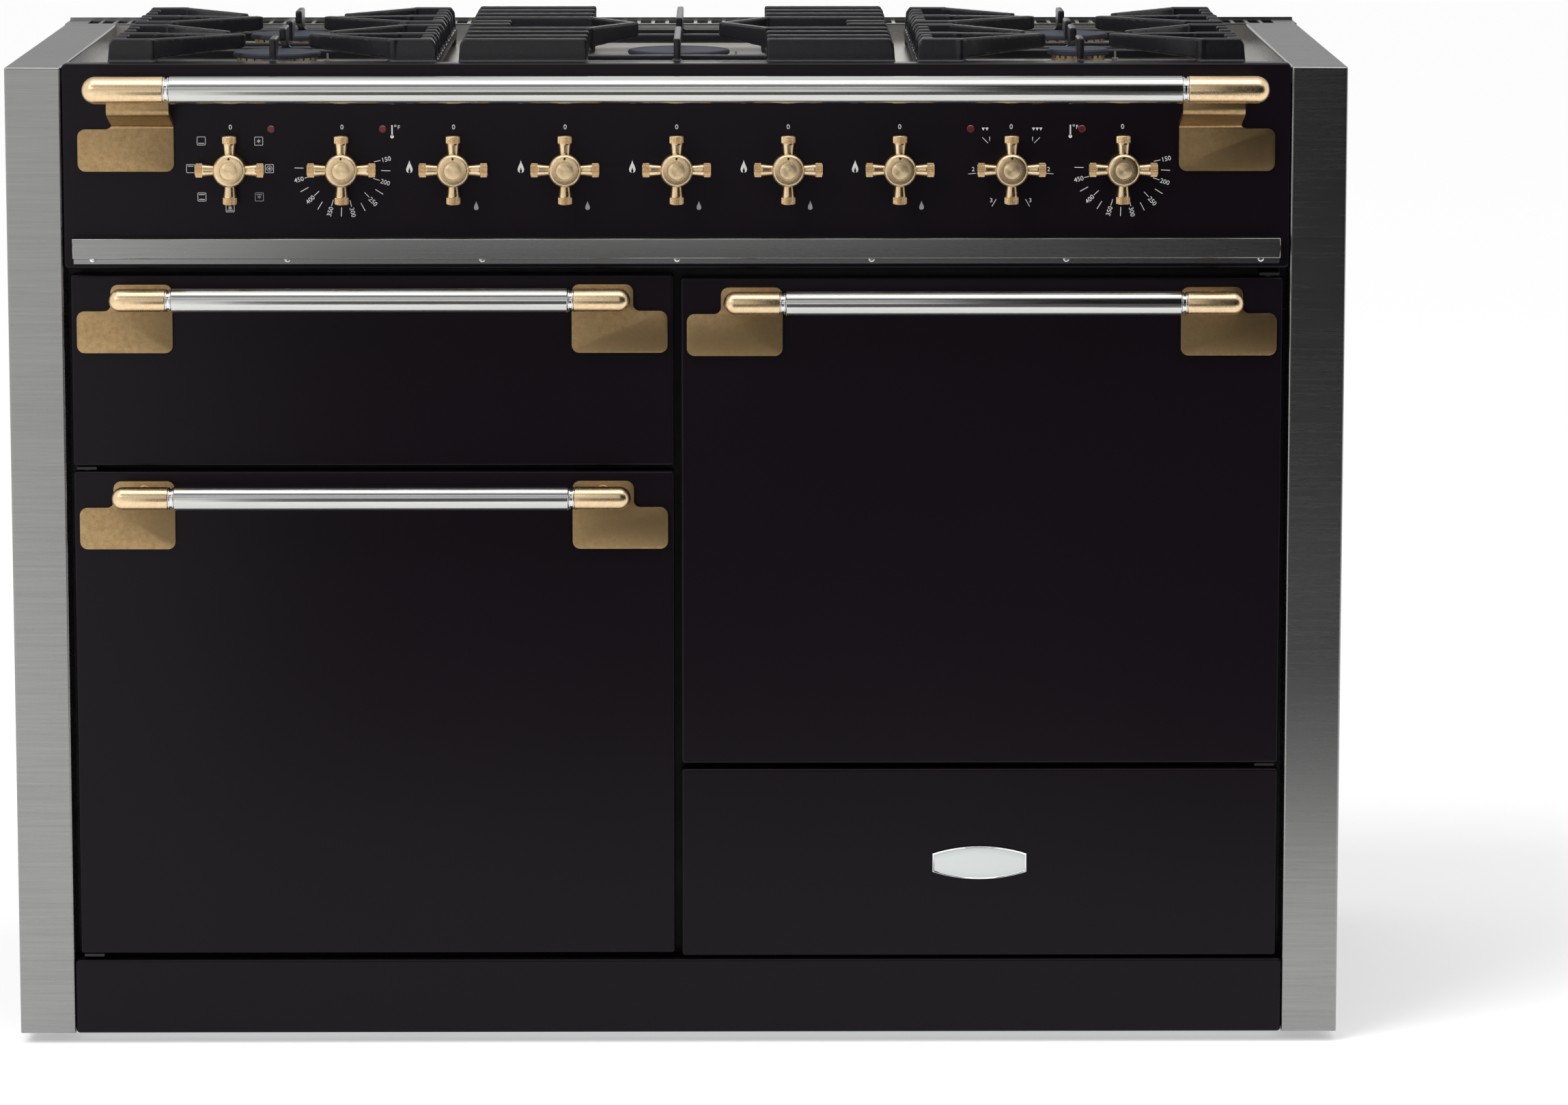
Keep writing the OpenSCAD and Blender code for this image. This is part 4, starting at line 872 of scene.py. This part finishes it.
def make_knob():
    """A cross knob about the origin, its back at y = 0, with a turned disc and a black pointer hole."""
    bm = bmesh.new()
    for direction in ((1, 0, 0), (-1, 0, 0), (0, 0, 1), (0, 0, -1)):
        knob_arm(bm, direction)
    r = KNOB_HUB / 2
    front = KNOB_DEPTH
    rim = [(front - depth * MM, r - inset * MM) for depth, inset in
           ((2.3, 0), (2.0, 0.15), (0.45, 1.6), (0.1, 2.0), (0, 2.4))]
    disc = [(front - depth * MM, radius * MM) for depth, radius in
            ((0, 8.6), (0.15, 8.45), (0.6, 8.3), (0.6, 7.7), (0.1, 7.5), (-0.02, 7.3), (-0.08, 4.0),
             (-0.1, 0.05))]
    first = len(bm.faces)
    lathe(bm, [(0, 3.1 * MM), (0, r - 0.8 * MM), (0.8 * MM, r)] + rim + disc, (0, 0, 0), (0, -1, 0), 80)
    bm.faces.ensure_lookup_table()
    for face in bm.faces[first:]:
        radius = max(hypot(v.co.x, v.co.z) for v in face.verts)
        if radius < TURNED_DISC and face.calc_center_median().y < -front + 1 * MM:
            face.material_index = 1
    hole = bmesh.new()
    bottom = (0, -front + 1.6 * MM, 11.2 * MM)
    lathe(hole, [(0, POINTER_HOLE), (4 * MM, POINTER_HOLE)], bottom, (0, -1, 0), 20)
    for face in hole.faces:
        face.material_index = 2
    mesh = cut_out(to_mesh(bm, "knob"), hole, (BRASS, TURNED_BRASS, HOLE_BLACK))
    own = mesh.uv_layers.new(name="turned")
    for loop in mesh.loops:
        co = mesh.vertices[loop.vertex_index].co
        own.data[loop.index].uv = (co.x, co.z)
    return mesh


def add_spindle(mesh, back, length):
    """A round spindle at a knob's axis, from back forwards."""
    bm = bmesh.new()
    bm.from_mesh(mesh)
    before = len(bm.faces)
    lathe(bm, [(0, 3 * MM), (length, 3 * MM)], (0, back, 0), (0, -1, 0), 24)
    bm.faces.ensure_lookup_table()
    bmesh.ops.recalc_face_normals(bm, faces=bm.faces[before:])
    bm.to_mesh(mesh)
    bm.free()


knob = make_knob()
knob_at = {}
for n in KNOB_NUMBERS:
    low, high = corners(f"knob_{n}")
    knob_at[n] = Vector(((low.x + high.x) / 2, low.y + KNOB_DEPTH, (low.z + high.z) / 2))
    mesh = knob.copy()
    if high.y > FRONT:  # an oven knob holds its own spindle
        add_spindle(mesh, high.y - knob_at[n].y, high.y - low.y - 10 * MM)
    mesh.transform(Matrix.Translation(knob_at[n]))
    replacement(f"knob_{n}", f"cross_knob_{n}", mesh, "brass", smooth=32)

# ---- Marks printed round the knobs ----

PRINT_Y = FRONT - PRINT_THICK
CAPITAL_HEIGHT = 0.72
LETTER_WEIGHT = 0.012
DISC_SIDES = 20


class Marks:
    """Flat marks on the control panel, in metres across and up from a knob's axis."""

    def __init__(self, name, material):
        self.name, self.material, self.bm = name, material, bmesh.new()

    def vertices(self, points, origin):
        return [self.bm.verts.new((origin.x + x, PRINT_Y, origin.z + y)) for x, y in points]

    def shape(self, points, origin, hole=None):
        """A filled outline; with a hole it becomes a band between two outlines of the same count."""
        outer = self.vertices(points, origin)
        if hole is None:
            self.bm.faces.new(outer)
        else:
            ring_faces(self.bm, [outer, self.vertices(hole, origin)])

    def ring(self, centre, outer, inner, origin):
        self.shape(disc_outline(centre, outer), origin, disc_outline(centre, inner))

    def stroke(self, a, b, width, origin):
        d = Vector((b[0] - a[0], b[1] - a[1])).normalized() * (width / 2)
        n = Vector((-d.y, d.x))
        self.shape([(a[0] + n.x, a[1] + n.y), (a[0] - n.x, a[1] - n.y),
                    (b[0] - n.x, b[1] - n.y), (b[0] + n.x, b[1] + n.y)], origin)

    def words(self, text, centre, size, origin, turn=0.0):
        """Digits or a unit, centred, its letters size high, turned anticlockwise by turn degrees."""
        curve = bpy.data.curves.new("letters", "FONT")
        curve.body = text
        curve.size = size / CAPITAL_HEIGHT
        curve.align_x = "CENTER"
        curve.offset = size * LETTER_WEIGHT
        curve.resolution_u = 3
        mesh = final_mesh(add_object("letters", curve))
        a = radians(turn)
        for v in mesh.vertices:
            x, y = v.co.x, v.co.y - size / 2
            v.co = (origin.x + centre[0] + x * cos(a) - y * sin(a), PRINT_Y,
                    origin.z + centre[1] + x * sin(a) + y * cos(a))
        self.bm.from_mesh(mesh)
        bpy.data.meshes.remove(mesh)

    def finish(self):
        """Gives the flat marks their thickness and makes them one piece."""
        bmesh.ops.remove_doubles(self.bm, verts=self.bm.verts, dist=2e-6)
        for face in self.bm.faces:
            face.normal_update()
            if face.normal.y > 0:
                face.normal_flip()
        flat = bmesh.ops.extrude_face_region(self.bm, geom=self.bm.faces[:])
        back = [e for e in flat["geom"] if isinstance(e, bmesh.types.BMVert)]
        bmesh.ops.translate(self.bm, verts=back, vec=(0, PRINT_THICK * 0.9, 0))
        new_piece(self.name, to_mesh(self.bm, self.name), "range_body", "badge", self.material, smooth=0)


def disc_outline(centre, radius):
    angles = [TURN * i / DISC_SIDES for i in range(DISC_SIDES)]
    return [(centre[0] + radius * cos(a), centre[1] + radius * sin(a)) for a in angles]


def rounded_square(centre, half, r):
    points = []
    for (sx, sy), start in (((1, -1), -90), ((1, 1), 0), ((-1, 1), 90), ((-1, -1), 180)):
        points += arc((centre[0] + sx * (half - r), centre[1] + sy * (half - r)), r, start, start + 90, 4)
    return points


def clockwise(angle, radius):
    a = radians(angle)
    return radius * sin(a), radius * cos(a)


def axis_of(n):
    return Vector((knob_at[n].x, FRONT, knob_at[n].z))


def grow_copies(tree, name, material, **inputs):
    """Ends a geometry group with copies on points, and gives the mesh that it makes."""
    copies = node_in(tree, "GeometryNodeInstanceOnPoints", **inputs)
    real = node_in(tree, "GeometryNodeRealizeInstances", Geometry=copies[0])
    painted = node_in(tree, "GeometryNodeSetMaterial", Geometry=real[0], Material=material)
    node_in(tree, "NodeGroupOutput", Geometry=painted[0])
    return with_modifiers(bpy.data.meshes.new(name), ("NODES", dict(node_group=tree)))


def dial_ticks(name, first, inner, outer, axis):
    """Ticks round a knob's axis by Geometry Nodes: bars set on points, each turned by its index."""
    tree, given = node_group(name, "GeometryNodeTree", [("Geometry", GEOMETRY)], [
        ("Count", WHOLE, len(TEMPERATURES)), ("First Angle", NUMBER, radians(first)),
        ("Step", NUMBER, radians(NUMBER_STEP)), ("Radius", NUMBER, (inner + outer) / 2),
        ("Length", NUMBER, outer - inner), ("Width", NUMBER, TICK_WIDTH)])
    points = node_in(tree, "GeometryNodeMeshLine", Count=given["Count"])
    index = node_in(tree, "GeometryNodeInputIndex")
    turned = math_in(tree, "MULTIPLY_ADD", index[0], given["Step"], given["First Angle"])
    direction = node_in(tree, "ShaderNodeCombineXYZ", X=math_in(tree, "SINE", turned),
                        Z=math_in(tree, "COSINE", turned))
    place = node_in(tree, "ShaderNodeVectorMath", {"operation": "SCALE"}, i0=direction[0],
                    Scale=given["Radius"])
    spread = node_in(tree, "GeometryNodeSetPosition", Geometry=points[0], Position=place[0])
    size = node_in(tree, "ShaderNodeCombineXYZ", X=given["Width"], Y=PRINT_THICK, Z=given["Length"])
    bar = node_in(tree, "GeometryNodeMeshCube", Size=size[0])
    turn = node_in(tree, "ShaderNodeCombineXYZ", Y=turned)
    mesh = grow_copies(tree, name, PRINT, Points=spread[0], Instance=bar[0],
                       Rotation=turn[0])
    mesh.transform(Matrix.Translation((axis.x, PRINT_Y + PRINT_THICK / 2, axis.z)))
    new_piece(name, mesh, "range_body", "badge", smooth=0)


white = Marks("panel_print", PRINT)
grey = Marks("panel_print_grey", FAINT_PRINT)

ZERO_UP = 38.0 * MM
for n in KNOB_NUMBERS:
    white.words("0", (0, ZERO_UP), DIGIT, axis_of(n))

# Oven temperatures: the numbers stand along their radius, a tick inside each and one between them
TEMPERATURES = ("150", "200", "250", "300", "350", "400", "450")
FIRST_NUMBER, NUMBER_STEP = 77.6, 29.77
NUMBER_RADIUS = 40.6 * MM
INNER_TICK = (29.3 * MM, 35.4 * MM)
OUTER_TICK = (35.2 * MM, 43.4 * MM)
TICK_WIDTH = 0.62 * MM
# How far the stem of a knob's thermometer stands across from its axis
STEMS = {2: 45.3 * MM, 9: -47.3 * MM}

for n, stem in STEMS.items():
    axis = axis_of(n)
    for i, number in enumerate(TEMPERATURES):
        angle = FIRST_NUMBER + NUMBER_STEP * i
        turn = 90 - angle if angle < 180 else 270 - angle
        white.words(number, clockwise(angle, NUMBER_RADIUS), DIGIT * 0.95, axis, turn)
    dial_ticks(f"number_ticks_{n}", FIRST_NUMBER, *INNER_TICK, axis)
    dial_ticks(f"between_ticks_{n}", FIRST_NUMBER + NUMBER_STEP / 2, *OUTER_TICK, axis)
    white.shape(disc_outline((stem, 29.2 * MM), 1.65 * MM), axis)
    white.stroke((stem, 30 * MM), (stem, 39.6 * MM), 1.3 * MM, axis)
    white.words("F", (stem + 6.1 * MM, 37.7 * MM), 3.7 * MM, axis)
    white.ring((stem + 3.0 * MM, 39.0 * MM), 1.0 * MM, 0.6 * MM, axis)


def flame(marks, centre, height, axis, hollow):
    """A flame with a pointed top and a round foot; a hollow one has a small drop left open in it."""
    side = [(0.0, 1.0), (0.10, 0.78), (0.30, 0.52), (0.42, 0.28), (0.36, 0.09), (0.16, 0.0)]
    right = [(x * height * 0.62, (y - 0.5) * height) for x, y in side]
    left = [(-x, y) for x, y in reversed(right[1:])]
    outline = [(centre[0] + x, centre[1] + y) for x, y in right + left]
    foot = centre[1] - 0.5 * height
    drop = [(centre[0] + (x - centre[0]) * 0.36, foot + (y - foot) * 0.46) for x, y in outline]
    marks.shape(outline[::-1], axis, drop[::-1] if hollow else None)


for n in (3, 4, 5, 6, 7):
    flame(white, (-40.3 * MM, 2.0 * MM), 11.4 * MM, axis_of(n), True)
    flame(grey, (20.0 * MM, -33.4 * MM), 8.2 * MM, axis_of(n), False)

# Grill knob: two or three heads of heat, then 1 to 3 down both sides, each with its tick (places in mm)
GRILL_STEPS = (("1", (19.5, 26.8), (26.0, 28.1), (21.0, 23.0)),
               ("2", (34.2, -0.6), (38.6, -5.1), (31.8, -4.5)),
               ("3", (17.7, -28.9), (13.3, -28.0), (17.1, -34.6)))
axis = axis_of(8)
for side, heads in ((-1, 2), (1, 3)):
    for i in range(heads):
        x = side * 23.6 * MM + (i - (heads - 1) / 2) * 3.25 * MM
        white.shape([(x - 1.5 * MM, 37.0 * MM), (x, 34.2 * MM), (x + 1.5 * MM, 37.0 * MM)], axis)
    for digit, *places in GRILL_STEPS:
        at, start, end = [(side * x * MM, z * MM) for x, z in places]
        white.words(digit, at, 3.9 * MM, axis)
        white.stroke(start, end, 0.55 * MM, axis)

# Oven function knob: small ovens with bars for the heat, a star for the fan (places in mm)
ICON = 3.9 * MM
ICON_INSIDE = ICON - 0.42 * MM
TOP, BOTTOM = 2.2, -2.2
OVEN_ICONS = ((-26.5, 25.4, [BOTTOM], None), (25.5, 25.2, [], "star"), (-36.4, 0.3, [TOP], None),
              (34.9, 0.2, [], "ringed star"), (-26.5, -25.5, [TOP, BOTTOM], None),
              (25.5, -25.5, [TOP], "star"), (-1.1, -35.4, [BOTTOM], "star"))
axis = axis_of(1)
for x, z, bars, fan in OVEN_ICONS:
    centre = (x * MM, z * MM)
    marks = grey if x > 20 and z < -20 else white
    marks.shape(rounded_square(centre, ICON, 0.8 * MM), axis, rounded_square(centre, ICON_INSIDE, 0.5 * MM))
    for bar in bars:
        height = centre[1] + bar * MM
        marks.stroke((centre[0] - 2.6 * MM, height), (centre[0] + 2.6 * MM, height), 0.55 * MM, axis)
    if fan:
        reach = (1.5 if fan == "ringed star" else 1.9) * MM
        for k in range(3):
            dx, dz = clockwise(60 * k, reach)
            marks.stroke((centre[0] - dx, centre[1] - dz), (centre[0] + dx, centre[1] + dz), 0.4 * MM, axis)
    if fan == "ringed star":
        marks.ring(centre, 2.6 * MM, 2.25 * MM, axis)

white.finish()
grey.finish()

# ---- Deflector rail with rolled edges, and its screws by Geometry Nodes ----


def pan_head():
    """A pan-head screw about the origin, its seat at y = 0, with a crossed slot."""
    r, height = 3.1 * MM, 1.9 * MM
    bm = bmesh.new()
    dome = [(height * sin(a), r * cos(a) ** 0.8) for a in quarter_turns(6, first=1)]
    lathe(bm, [(0, r)] + dome + [(height, 0.1 * MM)], (0, 0, 0), (0, -1, 0), 28)
    slots = bmesh.new()
    for across, up in ((3.6, 0.8), (0.8, 3.6)):
        made = bmesh.ops.create_cube(slots, size=1.0)
        bmesh.ops.scale(slots, verts=made["verts"], vec=(across * MM, 2.2 * MM, up * MM))
        bmesh.ops.translate(slots, verts=made["verts"], vec=(0, -2.2 * MM, 0))
    return cut_out(to_mesh(bm, "pan_head"), slots)


def screw_row(node, count, inset):
    """Screws in one row along the rail, the outer ones set in from the row's ends."""
    low, high = corners(node)
    head = add_object("pan_head", pan_head())
    start = (low.x + inset, low.y + 1.8 * MM, (low.z + high.z) / 2)
    pitch = ((high.x - low.x - 2 * inset) / (count - 1), 0, 0)
    tree, given = node_group("screw row", "GeometryNodeTree", [("Geometry", GEOMETRY)], [
        ("Count", WHOLE, count), ("Start", VECTOR, start), ("Pitch", VECTOR, pitch)])
    line = node_in(tree, "GeometryNodeMeshLine", {"mode": "OFFSET"}, Count=given["Count"],
                   Start_Location=given["Start"], Offset=given["Pitch"])
    screw = node_in(tree, "GeometryNodeObjectInfo", Object=head)
    mesh = grow_copies(tree, "rail_screw_heads", CHROME, Points=line[0],
                       Instance=screw["Geometry"])
    bpy.data.objects.remove(head)
    replacement(node, "rail_screw_heads", mesh, "chrome")


screw_row("deflector_screws", 7, 3.1 * MM)
rounded_copy("deflector_rail", "deflector_lip", LIP_ROUND, on_lip, "stainless", STEEL_SHEET, segments=3)

# ---- Cast iron grates: the solid's copy, remeshed so that every edge and corner is round ----

KEPT_FACES = 0.30


def cast_grate(node):
    mesh = to_mesh(merged_copy(node, join_flats=False), node + "_cast", outwards=False)
    mesh = with_modifiers(mesh, ("REMESH", dict(mode="VOXEL", voxel_size=GRATE_GRID)),
                          ("SMOOTH", dict(factor=0.5, iterations=1)), ("DECIMATE", dict(ratio=KEPT_FACES)))
    outwards = [v.normal.copy() for v in mesh.vertices]
    for v, direction in zip(mesh.vertices, outwards):
        grit = noise.noise(v.co * 160) * 0.12 + noise.noise(v.co * 420) * 0.08
        v.co += direction * (grit * MM)
    replacement(node, node + "_cast", mesh, "cast_iron", CAST_IRON, smooth=60)


for node in ("grate_left", "grate_centre", "grate_right"):
    cast_grate(node)

# ---- Badge: a rounded rim about a bare, slightly domed face ----

BADGE_HALF = (43.65 * MM, 15.7 * MM)
BADGE_END = 8.8 * MM
# Rows in mm: how far in from the outline, and how far out from the drawer's front
BADGE_RIM = ((0, 0), (0, 1.9), (0.15, 2.5), (0.6, 2.95), (1.2, 3.0), (1.7, 2.7), (2.0, 2.2), (2.0, 0.4))
BADGE_FACE = ((1.9, 0.3), (1.9, 2.0), (3.0, 2.25), (6.0, 2.4), (8.0, 2.45))


def badge_outline(inset, steps=14):
    """Bowed top and bottom between straight ends, anticlockwise from the lower left."""
    w, h, e = BADGE_HALF[0] - inset, BADGE_HALF[1] - inset, BADGE_END - inset * 0.9
    sag = h - e
    radius = (w * w + sag * sag) / (2 * sag)
    rows = []
    for i in range(steps + 1):
        x = -w + 2 * w * i / steps
        rows.append((x, sqrt(radius * radius - x * x) - radius + h))
    return [(x, -z) for x, z in rows] + rows[::-1]


def make_badge():
    centre = middle("badge")

    def row(bm, inset, out):
        return [bm.verts.new((centre.x + x, FRONT - out, centre.z + z)) for x, z in badge_outline(inset)]

    rim, face = bmesh.new(), bmesh.new()
    rows = [row(rim, inset * MM, out * MM) for inset, out in BADGE_RIM]
    ring_faces(rim, rows + [rows[0]])
    rows = [row(face, inset * MM, out * MM) for inset, out in BADGE_FACE]
    ring_faces(face, rows)
    face.faces.new(rows[0][::-1])
    face.faces.new(rows[-1])
    replacement("badge", "badge_rim", to_mesh(rim, "badge_rim"), "chrome", CHROME)
    replacement("badge", "badge_face", to_mesh(face, "badge_face"), "badge", BADGE_ENAMEL)


make_badge()
